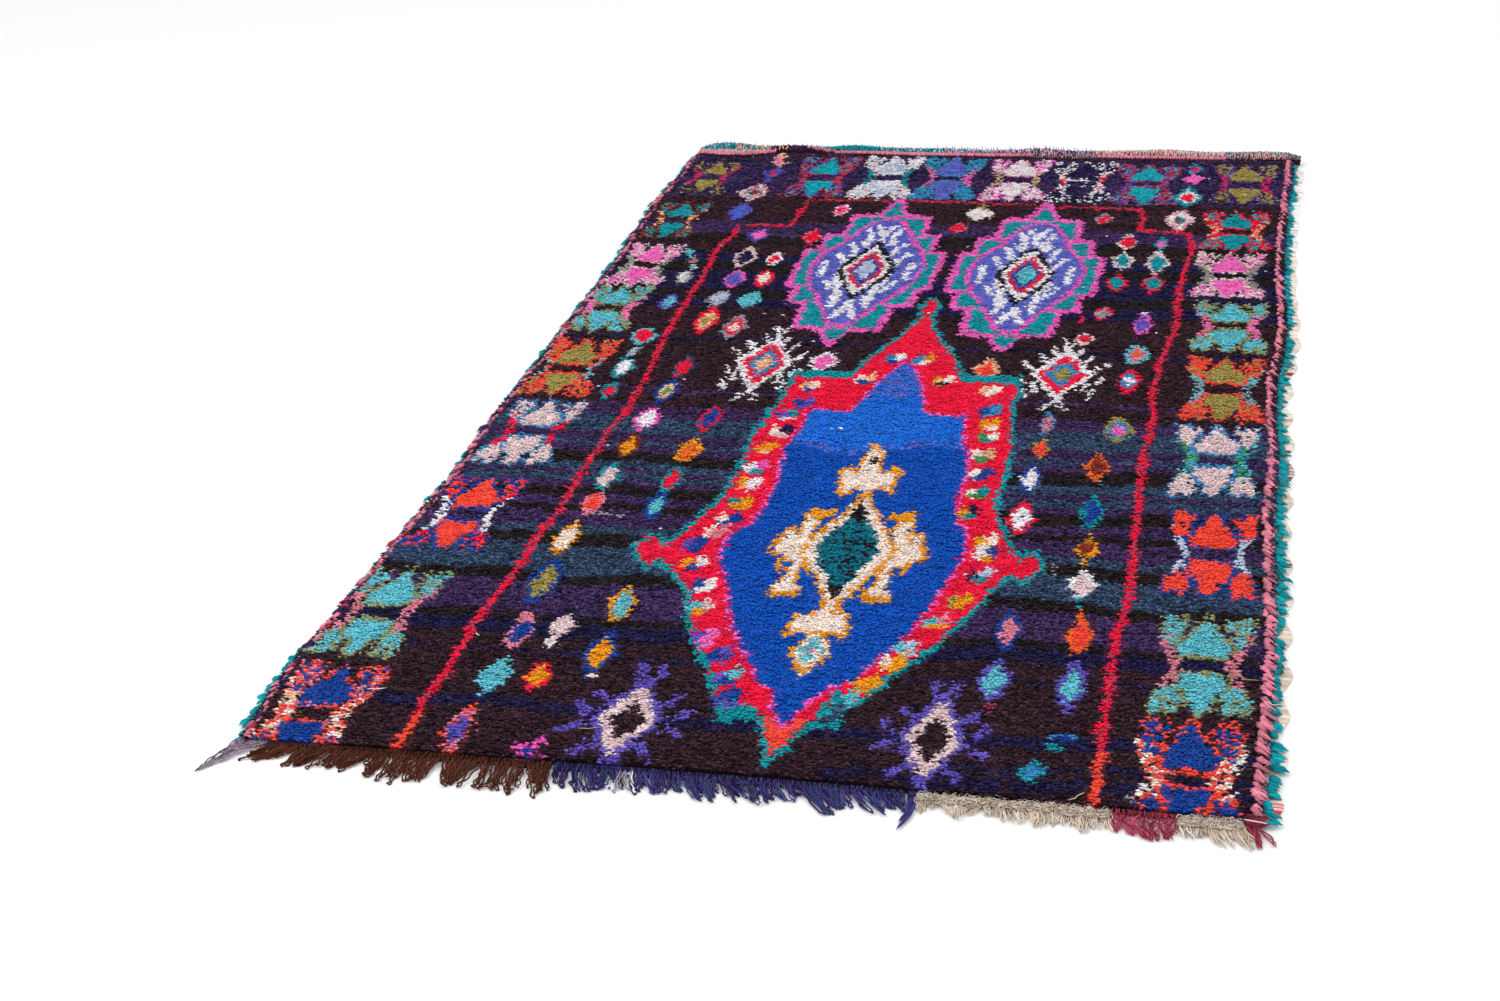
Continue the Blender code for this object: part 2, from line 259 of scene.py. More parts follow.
class Skein:
    """Gathers the yarn ends of one piece, each in its own colour and on its own patch of the piece's map."""

    def __init__(self):
        self.points, self.triangles, self.colours, self.corners = [], [], [], []
        self.count = self.cells = 0

    def add(self, lines, radii, colours, sides=3, shades=None, flat=1.0, spin=0.0):
        """Closed yarn ends round their middle lines, each pointed at its root and tip.

        lines is (ends, steps, 3), radii (steps - 2) or (ends, steps - 2), and colours (ends, 3) or
        (ends, steps, 3).
        """
        ends, steps = lines.shape[:2]
        along = unit(lines[:, 2:] - lines[:, :-2])
        across = np.cross(along, (0.0, 0.0, 1.0))
        level = np.linalg.norm(across, axis=-1) < 0.05
        across[level] = np.cross(along[level], (1.0, 0.0, 0.0))
        across = unit(across)
        over = np.cross(along, across) * flat
        turn = np.reshape(spin, (-1, 1, 1)) + 2 * np.pi * np.arange(sides) / sides
        radii = np.broadcast_to(radii, (ends, steps - 2))[..., None, None]
        rings = lines[:, 1:-1, None] + radii * (
            np.cos(turn)[..., None] * across[:, :, None] + np.sin(turn)[..., None] * over[:, :, None]
        )
        points = np.concatenate(
            [lines[:, :1], rings.reshape(ends, -1, 3), lines[:, -1:]], axis=1
        )
        faces, corners = self.pattern(steps, sides)
        # Unless given shades of their own, the ends run from 0.55 at the root to 1.1 at the tip: painted
        # shade at the root and painted light at the tip
        shades = np.linspace(0.55, 1.1, steps) if shades is None else np.asarray(shades)
        if colours.ndim == 2:
            colours = np.repeat(colours[:, None], steps, axis=1)
        colours = colours * shades[:, None]
        ring_of = np.concatenate([[0], np.repeat(np.arange(1, steps - 1), sides), [steps - 1]])
        self.keep(points, colours[:, ring_of], faces, corners)

    def keep(self, points, colours, faces, corners):
        ends, each = points.shape[:2]
        starts = self.count + each * np.arange(ends)
        self.points.append(points.reshape(-1, 3))
        self.colours.append(colours.reshape(-1, 3))
        self.triangles.append((faces[None] + starts[:, None, None]).reshape(-1, 3))
        cells = np.broadcast_to(
            (self.cells + np.arange(ends))[:, None, None, None], (ends, len(faces), 3, 1)
        )
        patches = np.broadcast_to(corners[None], (ends, len(faces), 3, 2))
        self.corners.append(np.concatenate([cells, patches], -1).reshape(-1, 3))
        self.count += ends * each
        self.cells += ends

    @staticmethod
    def pattern(steps, sides):
        """Triangles of one yarn end, and where their corners lie on its unrolled patch."""

        def index(ring, side):
            return 1 + (ring - 1) * sides + side % sides

        faces, corners = [], []
        last = 1 + (steps - 2) * sides
        for side in range(sides):
            a, b, middle = side / sides, (side + 1) / sides, (side + 0.5) / sides
            one, top = 1 / (steps - 1), (steps - 2) / (steps - 1)
            faces.append((0, index(1, side + 1), index(1, side)))
            corners.append(((middle, 0), (b, one), (a, one)))
            for ring in range(1, steps - 2):
                low, high = ring / (steps - 1), (ring + 1) / (steps - 1)
                p, q = index(ring, side), index(ring, side + 1)
                r, s = index(ring + 1, side + 1), index(ring + 1, side)
                faces += [(p, q, r), (p, r, s)]
                corners += [((a, low), (b, low), (b, high)), ((a, low), (b, high), (a, high))]
            faces.append((index(steps - 2, side), index(steps - 2, side + 1), last))
            corners.append(((a, top), (b, top), (middle, 1)))
        return np.array(faces), np.array(corners, float)

    def loft(self, rings, colours):
        """A closed band through rings of points, (rings, points, 3), with its two ends capped to a point."""
        count, around = rings.shape[:2]
        closed = np.roll(rings, -1, axis=1)
        shade = np.roll(colours, -1, axis=1)
        low = np.stack([rings[:-1], closed[:-1]], 2)
        high = np.stack([closed[1:], rings[1:]], 2)
        quads = np.concatenate([low, high], 2)
        tints = np.concatenate(
            [np.stack([colours[:-1], shade[:-1]], 2), np.stack([shade[1:], colours[1:]], 2)], 2
        )
        faces, corners = [], []
        for i in range(around):
            a, b, p = i / around, (i + 1) / around, 4 * i
            faces += [(p, p + 1, p + 2), (p, p + 2, p + 3)]
            corners += [((a, 0), (b, 0), (b, 1)), ((a, 0), (b, 1), (a, 1))]
        self.keep(
            quads.reshape(count - 1, -1, 3), tints.reshape(count - 1, -1, 3),
            np.array(faces), np.array(corners, float),
        )
        for ring, tint, turned in ((rings[0], colours[0], True), (rings[-1], colours[-1], False)):
            middle = np.concatenate([ring, ring.mean(0, keepdims=True)])[None]
            shades = np.concatenate([tint, tint.mean(0, keepdims=True)])[None]
            fan, patch = [], []
            for i in range(around):
                pair = (i, (i + 1) % around)
                fan.append((*(pair[::-1] if turned else pair), around))
                patch.append(((i / around, 0), ((i + 1) / around, 0), ((i + 0.5) / around, 1)))
            self.keep(middle, shades, np.array(fan), np.array(patch, float))

    def piece(self, name, finish, slot, *nodes):
        """Joins all that was gathered into one object, which stands for the CAD nodes."""
        points = np.concatenate(self.points)
        triangles = np.concatenate(self.triangles)
        mesh = bpy.data.meshes.new(name)
        mesh.vertices.add(len(points))
        mesh.vertices.foreach_set("co", points.astype(np.float32).ravel())
        mesh.loops.add(triangles.size)
        mesh.loops.foreach_set("vertex_index", triangles.astype(np.int32).ravel())
        mesh.polygons.add(len(triangles))
        mesh.polygons.foreach_set("loop_start", np.arange(0, triangles.size, 3, dtype=np.int32))
        mesh.update(calc_edges=True)
        corners = np.concatenate(self.corners)
        wide = math.ceil(math.sqrt(self.cells))
        cell = np.stack([corners[:, 0] % wide, corners[:, 0] // wide], -1)
        patch = (cell + PATCH_GAP + (1 - 2 * PATCH_GAP) * corners[:, 1:]) / wide
        mesh.uv_layers.new(name="OFBake").uv.foreach_set("vector", patch.astype(np.float32).ravel())
        dressed(mesh, np.concatenate(self.colours), finish, slot, *nodes)


def dressed(mesh, colours, finish, slot, *nodes):
    """Makes a piece of a mesh: its points' colours, its material and its place in the frame."""
    rgba = np.ones((len(colours), 4), np.float32)
    rgba[:, :3] = np.clip(colours, 0.0, 1.0)
    mesh.attributes.new("yarn", "FLOAT_COLOR", "POINT").data.foreach_set("color", rgba.ravel())
    mesh.shade_smooth()
    mesh.materials.append(finish)
    made = bpy.data.objects.new(mesh.name, mesh)
    bpy.context.scene.collection.objects.link(made)
    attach(made, BODY)
    if nodes:
        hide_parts(*nodes)


# Materials

MATT = {"Roughness": 0.95, "Specular IOR Level": 0.05}


def material(name, wires, **nodes):
    """A material from its nodes, each given as its kind and what is set on it, and the wires between them."""
    made = bpy.data.materials.new(name)
    made.use_nodes = True
    tree = made.node_tree
    found = {"shader": tree.nodes["Principled BSDF"]}
    for key, (kind, settings) in nodes.items():
        node = found[key] = found.get(key) or tree.nodes.new("ShaderNode" + kind)
        for setting, value in settings.items():
            if setting in node.inputs:
                node.inputs[setting].default_value = value
            else:
                setattr(node, setting, value)
    for start, output, end, entry in wires:
        tree.links.new(found[start].outputs[output], found[end].inputs[entry])
    return made


def wool(name):
    """Matt yarn in the colour that each yarn end was given, faded in patches, with a soft nap."""
    wires = (
        ("place", "Object", "patches", "Vector"),
        ("patches", "Fac", "faded", "Value"),
        ("tint", "Color", "dyed", "Vector"),
        ("faded", "Result", "dyed", "Scale"),
        ("dyed", "Vector", "shader", "Base Color"),
    )
    return material(
        name,
        wires,
        shader=("BsdfPrincipled", {**MATT, "Sheen Weight": 0.03, "Sheen Roughness": 0.5}),
        tint=("Attribute", {"attribute_name": "yarn"}),
        place=("TexCoord", {}),
        patches=("TexNoise", {"Scale": 55.0, "Detail": 2.0}),
        faded=("MapRange", {"From Min": 0.3, "From Max": 0.7, "To Min": 0.86, "To Max": 1.12}),
        dyed=("VectorMath", {"operation": "SCALE"}),
    )


def ground_weave(warp):
    """The plain weave that the knots are tied on: rows of knot backs, with the warp between them."""
    wires = (
        ("place", "Object", "threads", "Vector"),
        ("threads", "Fac", "rows", "Value"),
        ("rows", "Result", "blend", "Factor"),
        ("tint", "Color", "blend", "B"),
        ("threads", "Fac", "relief", "Height"),
        ("blend", "Result", "shader", "Base Color"),
        ("relief", "Normal", "shader", "Normal"),
    )
    return material(
        "ground_weave",
        wires,
        shader=("BsdfPrincipled", MATT),
        place=("TexCoord", {}),
        tint=("Attribute", {"attribute_name": "yarn"}),
        threads=("TexWave", {"bands_direction": "Y", "Scale": 50.0, "Distortion": 1.5}),
        blend=("Mix", {"data_type": "RGBA", "A": (*warp, 1.0)}),
        relief=("Bump", {"Strength": 0.5, "Distance": 0.001}),
        rows=("MapRange", {"From Max": 0.35}),
    )


# The pattern's chart, in centimetres

GROUND = (
    # from v, yarn
    (-5, "brown"), (12.5, "navy"), (15.5, "brown"), (30, "navy"), (30.8, "brown"), (36, "navy"),
    (40.5, "black"), (43, "purple"), (53.5, "black"), (57, "slate"), (65.5, "black"), (69.5, "slate"),
    (72, "purple"), (77.3, "black"), (79.3, "purple"), (82.5, "black"), (86.3, "purple"), (88.5, "slate"),
    (91.3, "purple"), (92.8, "slate"), (96.3, "black"), (101, "purple"), (104, "slate"), (106, "purple"),
    (110, "slate"), (118.5, "purple"), (124, "brown"), (130.8, "purple"), (132.5, "brown"),
    (155.5, "navy"), (157, "brown"), (173, "navy"), (178, "black"), (183, "navy"), (195, "black"),
    (201, "navy"), (207, "brown"), (214, "black"), (219, "purple"), (227.5, "brown"),
    (243.5, "purple brown"), (247, "purple navy"), (254, "purple"), (258, "purple navy"),
    (271, "purple brown"), (274.5, "brown purple"),
)
NEAR_BANDS = ((3.2, 5.6, 86), (6.8, 8.4, 97))  # navy between two v, right of u

BORDER = (
    (24, -1), (24, 10), (23.5, 15), (24, 21), (23.7, 30), (23.4, 40), (24.3, 52), (24.7, 62), (24.4, 70),
    (25.3, 78), (24.6, 87), (24.4, 96), (24.8, 103), (24.2, 110), (25.2, 118), (25, 125), (24.8, 135),
    (24.2, 142), (23.4, 150), (22.9, 158), (22.5, 170), (22.2, 182), (22.3, 190), (21.7, 200), (21, 208),
    (22.9, 217), (22.4, 224.5), (34.8, 224.5), (35.1, 242.8), (45, 243.2), (60, 243.5), (73, 242.6),
    (86, 242), (100, 241.4), (112.6, 241.8), (113.8, 236), (113.4, 226.6), (124.4, 225.8), (125.5, 218),
    (124.9, 205), (124.2, 192), (124.4, 180), (124.8, 172), (124, 163), (122.8, 152), (122.5, 140),
    (123.2, 125), (122.8, 110), (123, 96), (123.5, 85), (124, 72), (124.1, 58), (123.3, 42), (123.5, 30),
    (123.4, 20), (123.8, 14), (124, -1),
)
BORDER_HALF = (0.76, 0.60, 150)  # near, far, and v from which it is the far one
WORN_FROM = 236  # v from which the line is worn
NEAR_STRETCH = ((10.3, 0, 40), (14.5, 110, 140))  # below v, between two u, the line is orange

# The motifs of the two side columns and of the top row are one shape, an upper and a lower half.
MOTIF_REACH = 14
MOTIF_BODY = (
    # measured from the middle, for a motif that reaches MOTIF_REACH up and down
    (-3.3, 2.8), (-3.9, 5.4), (-2.8, 8.0), (-1.6, 10.0), (-1.0, 12.2), (-0.1, 14.2), (0.9, 11.8),
    (1.6, 9.6), (2.9, 7.8), (4.0, 5.4), (3.1, 2.8),
)
MOTIF_BELLY = (
    (-3.2, -2.4), (-3.5, -6.0), (-2.3, -8.6), (-1.3, -10.4), (-1.1, -12.6), (-0.1, -14.0), (1.0, -12.4),
    (1.4, -10.0), (2.4, -8.4), (3.4, -6.0), (3.1, -2.4),
)
MOTIF_ARM = (
    (3.4, 13.8), (4.4, 11.8), (5.4, 14.4), (6.9, 14.2), (6.7, 10.0), (6.4, 6.6), (5.0, 5.2), (4.1, 6.6),
    (3.9, 9.6), (2.9, 12.2),
)
MOTIF_LEG = (
    (4.1, -5.6), (5.5, -6.0), (6.8, -8.6), (7.3, -12.6), (6.4, -14.0), (5.2, -12.0), (4.4, -13.8),
    (3.1, -13.2), (2.9, -9.4),
)
MOTIF_DIAGONAL = ((6.3, 8.6), (5.1, 4.2), (4.2, 1.2), (4.3, -1.6), (5.4, -6.2))
SIDE_MOTIFS = (
    # u, v of the middle, how wide, reach up, reach down, half width of the diagonals,
    # yarns of the body/arms/edge/diagonals
    (
        8.2, 8.0, 1.0, 14.5, 11.0, 1.25,
        "royal/royal orange rose/orange rose orange/orange cream orange peach white",
    ),
    (6.9, 38.8, 1.0, 14.5, 13.4, 0.8, "turquoise/turquoise turquoise moss/moss/rose"),
    (9.0, 74.4, 1.0, 14.4, 13.8, 0.62, "orange/orange red royal/royal/white"),
    (9.7, 109.2, 1.0, 13.5, 14.0, 0.7, "blush/blush/sky/red"),
    (8.0, 138.3, 1.0, 15.0, 12.5, 0.6, "olive/olive orange orange/orange/turquoise orange"),
    (6.9, 171.3, 0.92, 12.6, 13.0, 0.8, "turquoise/turquoise turquoise moss/moss/rose hotpink"),
    (7.6, 196.8, 0.84, 13.5, 12.0, 0.7, "hotpink/hotpink blush/blush/grey moss"),
    (6.8, 226.3, 0.80, 13.0, 12.0, 0.8, "teal/teal rust/rust brown/peach rust"),
    (7.4, 258.3, 0.78, 11.6, 12.5, 0.8, "olive/olive purple purple/purple/berry garnet"),
    (136.0, 8.2, 1.0, 15.4, 8.6, 1.4, "royal/royal royal orange/orange/orange cream orange peach white"),
    (136.6, 39.2, 1.0, 14.8, 13.6, 0.8, "turquoise/turquoise turquoise moss/moss/rose"),
    (136.2, 74.6, 1.0, 14.8, 14.5, 0.62, "orange/orange/royal/ice"),
    (135.2, 110.2, 1.0, 14.0, 14.2, 0.95, "blush/blush/sky/teal green turquoise"),
    (135.4, 140.6, 1.0, 15.0, 14.0, 0.75, "olive/olive orange orange/orange/turquoise grey"),
    (135.2, 172.4, 1.0, 12.6, 13.6, 0.8, "turquoise/turquoise turquoise moss/moss olive/hotpink rose"),
    (134.0, 200.3, 1.0, 13.4, 12.0, 0.8, "hotpink/hotpink blush/blush/grey moss"),
    (134.4, 228.0, 1.0, 12.0, 12.0, 1.0, "teal/teal red/red/peach red"),
    (135.4, 260.4, 1.0, 14.0, 14.0, 0.8, "olive/olive olive purple/purple violet/berry garnet"),
)
TOP_MOTIFS = (
    (
        35.0, 259.2, 1.0, 15.0, 14.6, 0.7,
        "lagoon/lagoon garnet garnet brown violet/garnet garnet violet/garnet",
    ),
    (51.0, 260.2, 1.0, 15.5, 15.5, 0.6, "ice ice white/white blush ice/white blush/teal"),
    (66.0, 260.4, 1.0, 15.0, 15.5, 0.7, "periwinkle/sky sky teal/sky/magenta rose"),
    (82.2, 260.2, 1.0, 15.0, 15.5, 0.6, "white blush/white blush magenta/magenta hotpink blush/peach moss"),
    (97.6, 259.2, 1.0, 15.0, 15.0, 0.7, "navy navy purple/white navy navy/white white navy/red white"),
    (
        112.8, 258.6, 1.0, 14.5, 14.5, 0.7,
        "lagoon/lagoon garnet garnet brown violet/garnet garnet violet/violet garnet",
    ),
)

LOZENGES = (
    # u, v, half across, half along, yarns from the outline inwards, with + between those that are mixed
    (31.7, 35.8, 2.2, 5.6, "rose royal"),
    (30.7, 41.0, 1.2, 2.2, "rose"),
    (37.6, 38.6, 2.7, 6.6, "navy blush"),
    (37.4, 33.4, 1.2, 0.9, "white"),
    (46.1, 31.2, 2.5, 7.2, "royal ochre"),
    (46.8, 24.6, 0.8, 1.4, "cream"),
    (31.7, 22.6, 2.5, 5.6, "turquoise"),
    (38.6, 23.4, 2.4, 4.2, "red ochre"),
    (31.4, 7.6, 2.1, 6.8, "orange+rose royal+violet"),
    (106.9, 46.0, 1.9, 6.8, "royal rose"),
    (117.8, 45.6, 2.0, 6.6, "ember orange"),
    (117.2, 52.6, 0.6, 1.4, "ember"),
    (106.6, 30.9, 2.3, 6.6, "violet turquoise"),
    (118.1, 31.2, 2.2, 8.0, "violet turquoise"),
    (106.8, 24.0, 0.9, 1.4, "maroon"),
    (118.0, 17.4, 1.9, 1.5, "sky royal"),
    (117.4, 14.8, 1.7, 1.3, "teal"),
    (115.0, 8.2, 2.0, 2.7, "teal sky"),
    (30.2, 52.3, 2.8, 8.0, "royal olive"),
    (45.2, 46.6, 2.1, 6.2, "ochre turquoise"),
    (29.5, 67.2, 2.1, 6.8, "ochre cream"),
    (30.2, 81.2, 2.0, 5.6, "rose orange"),
    (41.4, 81.4, 1.9, 6.0, "royal turquoise"),
    (29.8, 91.4, 2.3, 5.6, "teal blush"),
    (41.3, 92.0, 2.0, 5.6, "teal red"),
    (104.3, 84.2, 2.3, 6.6, "red white"),
    (104.3, 84.2, 0.6, 1.1, "black"),
    (115.9, 87.4, 1.9, 7.0, "teal royal"),
    (116.3, 74.2, 1.9, 4.8, "ochre rust"),
    (116.4, 69.2, 0.7, 1.6, "ochre"),
    (116.8, 61.6, 2.3, 5.2, "white blush"),
    (116.8, 56.0, 0.6, 2.4, "teal"),
    (29.8, 104.8, 2.1, 5.4, "rust ochre"),
    (41.3, 104.2, 2.2, 6.0, "ochre ember"),
    (30.0, 116.6, 2.5, 5.8, "magenta white"),
    (41.8, 118.0, 2.1, 6.0, "red royal"),
    (30.5, 129.6, 2.3, 6.2, "royal peach green"),
    (19.2, 128.8, 1.7, 4.2, "teal red"),
    (30.7, 141.6, 2.1, 6.0, "slate red"),
    (18.6, 140.2, 2.4, 5.4, "teal white"),
    (104.5, 122.2, 1.3, 5.4, "sky rose"),
    (117.5, 121.2, 2.8, 5.8, "olive sky hotpink"),
    (104.6, 111.6, 1.6, 4.2, "olive orange"),
    (115.2, 105.0, 2.2, 6.2, "ember rust"),
    (104.1, 99.6, 1.9, 6.4, "royal white"),
    (117.6, 143.0, 2.1, 6.4, "red sky white"),
    (118.2, 155.6, 2.6, 5.0, "turquoise rose ember"),
    (118.2, 171.8, 1.9, 6.4, "magenta violet"),
    (118.4, 178.0, 0.9, 1.6, "white"),
    (107.4, 163.0, 2.1, 3.6, "blush red"),
    (109.8, 177.6, 2.1, 4.0, "red grey"),
    (105.9, 173.8, 0.6, 2.0, "red"),
    (90.2, 146.0, 2.5, 5.4, "peach orange"),
    (18.8, 148.4, 0.9, 3.4, "ice"),
    (18.6, 156.2, 2.9, 5.4, "turquoise red"),
    (18.5, 175.8, 2.2, 4.8, "violet turquoise"),
    (29.3, 166.2, 2.7, 7.8, "red peach olive"),
    (35.9, 163.2, 2.5, 7.6, "grey red cream"),
    (28.8, 178.6, 2.4, 5.4, "grey ice"),
    (35.7, 178.4, 2.4, 4.8, "turquoise"),
    (18.3, 190.2, 1.9, 4.4, "grey ice+cream"),
    (29.3, 190.4, 2.7, 5.6, "magenta periwinkle"),
    (36.0, 190.8, 2.2, 5.6, "red cream"),
    (28.7, 203.6, 2.6, 6.6, "blush navy"),
    (35.4, 203.4, 1.8, 5.2, "white red"),
    (28.7, 217.8, 2.3, 4.8, "violet hotpink"),
    (41.2, 217.6, 2.2, 5.8, "rose+red red"),
    (44.3, 236.2, 2.1, 4.6, "white+rose hotpink red"),
    (57.8, 147.2, 2.9, 5.6, "white hotpink"),
    (76.6, 234.8, 3.4, 4.4, "cream white"),
    (77.2, 239.6, 1.3, 1.8, "olive"),
    (73.2, 225.2, 2.3, 4.2, "rust+rose red"),
    (105.0, 234.2, 1.9, 4.2, "grey red"),
    (111.4, 219.4, 1.9, 5.0, "blush red"),
    (111.4, 213.6, 0.6, 1.8, "white"),
    (118.8, 218.8, 1.6, 4.6, "teal hotpink"),
    (118.7, 213.0, 0.5, 2.0, "blush"),
    (111.4, 207.6, 2.4, 5.6, "blush teal"),
    (118.7, 207.2, 2.6, 6.8, "blush teal"),
    (111.2, 194.2, 2.2, 5.4, "red teal"),
    (118.6, 194.6, 2.3, 6.0, "red teal"),
    (22.2, 262.4, 2.9, 4.4, "violet+royal royal+violet red+garnet"),
    (22.0, 256.6, 1.1, 2.4, "violet"),
    (20.7, 247.6, 3.6, 6.4, "rose+blush blush+garnet+turquoise rust"),
    (20.6, 233.6, 2.8, 6.8, "violet bright+periwinkle"),
    (123.3, 271.2, 2.1, 3.8, "sky red+garnet"),
    (123.6, 263.6, 2.9, 3.2, "hotpink magenta+hotpink"),
    (122.8, 249.8, 3.4, 7.2, "teal white red"),
    (122.8, 256.8, 0.6, 1.6, "teal"),
    (121.8, 234.4, 3.4, 7.6, "rose+blush white+blush teal+rust"),
)
SLANTS = (
    # points, half width, yarn
    (((15.2, 207.2), (15.8, 204.8), (17.0, 202.6)), 0.55, "turquoise"),
    (((16.8, 202.8), (18.0, 199.4), (18.8, 196.2)), 0.6, "blush blush turquoise rose"),
    (((21.2, 278.5), (22.2, 268.0)), 0.95, "peach"),
    (((20.2, 274.2), (23.4, 274.8)), 0.9, "peach"),
    (((20.8, 270.2), (23.8, 270.0)), 0.9, "peach"),
    (((21.4, 273.0), (21.9, 270.0)), 0.95, "hotpink"),
    (((41.2, 5.2), (43.2, 3.4), (45.4, 1.6)), 0.75, "magenta"),
    (((41.6, 1.4), (43.2, 3.4), (44.6, 6.0)), 0.75, "magenta"),
    (((43.0, 3.5), (43.5, 3.2)), 0.9, "royal"),
    (((31.0, 77.0), (36.5, 76.6)), 0.25, "grey"),
    (((111.2, 68.6), (112.0, 64.6)), 0.25, "grey"),
)

# The large medallion: its red band's outline, and the blue field inside it
BAND = (
    (78.2, 5.6), (76.4, 10.6), (75, 14.6), (73.6, 18.4), (69, 20.6), (66.2, 22), (65, 25.6), (63.4, 29),
    (61.8, 32), (60.2, 35.4), (58.2, 39.6), (56.8, 43.4), (55.8, 47.8), (54, 52.2), (51.8, 55.6),
    (49.6, 58.6), (47.2, 62), (46, 58.2), (43.6, 61.6), (41.6, 66.6), (44.2, 71), (46.6, 67.6),
    (48.2, 72), (49.8, 75.6), (50.4, 79.4), (51.4, 83.4), (52.1, 88), (52.1, 93), (52.4, 98), (51.8, 105),
    (51.7, 112), (52.1, 118), (52.3, 123.2), (53.2, 125), (53.2, 131), (53.4, 136), (53.2, 139.8),
    (64.2, 140.2), (65.8, 147), (67.2, 152), (69.2, 158), (70.8, 162.4), (72, 167), (73.2, 172),
    (72.4, 175.2), (72.2, 178.8), (74.3, 182.4), (76.4, 178.8), (75.9, 175.2), (75.4, 172), (76.8, 167),
    (78.6, 162), (80.4, 158), (82, 155), (83.3, 151), (84.6, 147), (86.6, 140.6), (97.2, 140.2),
    (97.6, 136), (97.4, 130), (98.2, 124.6), (98.5, 118), (99.4, 112), (99.6, 106), (99.8, 100),
    (99.6, 92.6), (100, 87), (101, 82.6), (102.4, 78), (104.2, 73.4), (106, 69.2), (107.8, 72.6),
    (110.2, 66), (107.2, 60.4), (105.2, 63.4), (103.6, 59.6), (102.4, 56), (101.2, 52), (99.8, 48.6),
    (98.4, 44), (96.4, 39.4), (94.2, 35), (91.8, 31), (89.9, 26.4), (88, 22.4), (84.2, 19.2), (82.2, 16.4),
    (80.8, 12.2), (79.6, 8.8),
)
FIELD = (
    (78, 14.8), (76.2, 19.6), (75.2, 24.4), (72.2, 26.4), (70.2, 30.8), (68.2, 34.4), (66.4, 38),
    (64.6, 42), (63.4, 45.4), (62, 49.6), (61, 54), (59.6, 58), (57.8, 62), (56.8, 66), (56.6, 70),
    (57.8, 73.8), (59.6, 76.4), (60.2, 81), (60.6, 88), (60.4, 95), (59.6, 101), (59.1, 108), (59.4, 112),
    (60.2, 117), (60.1, 123.6), (67.2, 124), (68.2, 126), (69.2, 130), (70, 134), (71, 138.6), (72.4, 143),
    (74.3, 148), (76, 145), (77.8, 140.2), (79.3, 135), (80.3, 130), (81.2, 126), (82.2, 123.8),
    (89.4, 123.6), (89.2, 118), (90.2, 113.6), (91.2, 109.4), (92.2, 105), (92.6, 99), (92.4, 93),
    (92.6, 88), (93.4, 84), (93.6, 80.6), (95.2, 79.4), (96, 75), (96.4, 69), (96, 64), (95, 59),
    (94.2, 54.6), (93.3, 50), (92.4, 46), (90.8, 41), (88.8, 36), (86.8, 31.2), (84.6, 27), (81.6, 24.4),
    (79.6, 19),
)
BAND_TIP = ((74.8, 17), (78.2, 6.6), (81.6, 17))
BRIGHT_FROM = 109.0  # v from which the field is bright
PERIWINKLE_FROM = 133.0  # v from which it turns periwinkle
SHOULDERS = (
    ((53, 139.4), (64.6, 139.8), (64.6, 142.6), (53, 142.6)),
    ((86, 140), (97.6, 139.8), (97.6, 143.8), (85.6, 143.2)),
    ((67.6, 15), (73.6, 15), (73.8, 19.4), (70.6, 21.4), (67.2, 18.6)),
    ((81.6, 14.6), (87, 14.6), (86.6, 18.6), (82.6, 19.4)),
)
FLECKS = (
    # u, v, yarns
    (71.7, 150.0, "sky white royal"), (77.6, 149.8, "sky ochre white"), (67.7, 139.6, "cream peach royal"),
    (82.5, 140.2, "ochre cream navy"), (57.5, 135.2, "peach cream royal"), (92.2, 136.4, "peach cream"),
    (57.8, 127.0, "royal violet"), (93.4, 127.6, "royal sky"), (56.0, 121.8, "violet teal blush"),
    (94.2, 121.6, "ochre ochre cream"), (56.4, 114.8, "cream navy blush"), (94.7, 116.0, "green cream teal"),
    (55.4, 106.8, "ochre ochre peach"), (94.7, 108.0, "cream peach green"),
    (55.5, 98.8, "white magenta teal"),
    (95.4, 100.4, "cream royal"), (55.5, 92.2, "ochre white"), (95.8, 92.8, "cream teal green"),
    (55.5, 84.6, "teal ochre"), (95.4, 85.2, "ochre navy teal"), (55.3, 78.4, "cream royal"),
    (99.8, 75.2, "ochre cream"), (54.2, 73.6, "cream rose"), (100.1, 71.0, "white royal ochre"),
    (51.4, 68.8, "violet royal"), (100.4, 63.4, "navy ice teal"), (53.2, 62.0, "ochre white royal"),
    (98.2, 54.6, "olive ochre"), (56.6, 54.6, "royal white"), (95.8, 47.6, "turquoise rose ochre"),
    (57.8, 47.4, "turquoise blush ochre"), (92.3, 38.9, "turquoise ice"), (61.0, 38.4, "violet hotpink"),
    (91.0, 34.4, "cream ochre"), (64.5, 33.4, "royal violet"), (88.0, 28.0, "ochre"),
    (67.2, 27.4, "violet turquoise royal"), (85.6, 23.4, "teal turquoise"),
    (68.6, 21.6, "royal royal violet"),
    (84.4, 19.6, "teal slate"),
)

CORE_FRAME = (
    (76.6, 92), (79, 85.4), (81.2, 80), (83.4, 74.6), (85.6, 69.4), (83.6, 63), (81.6, 57.4), (79.2, 50.6),
    (77.6, 50.2), (75.4, 56.4), (72.8, 61.4), (69.8, 68.4), (72, 75.6), (74.6, 82.4),
)
CORE = (
    (76.6, 87.4), (78.2, 82), (80.6, 77), (82.9, 69.6), (81.4, 64), (79.4, 57.8), (78, 54.4), (76.2, 58.8),
    (73.8, 63.2), (72, 69), (73.6, 75.2), (75.4, 81),
)
CORE_TIPS = (((76.6, 88.2), (78.2, 82.0), (75.3, 81.2)), ((79.3, 57.6), (78.3, 52.4), (76.6, 57.4)))
CORE_CROSS = ((((76, 104.9), (76, 101.5)), 0.35), (((74.9, 103.3), (77.1, 103.3)), 0.4))
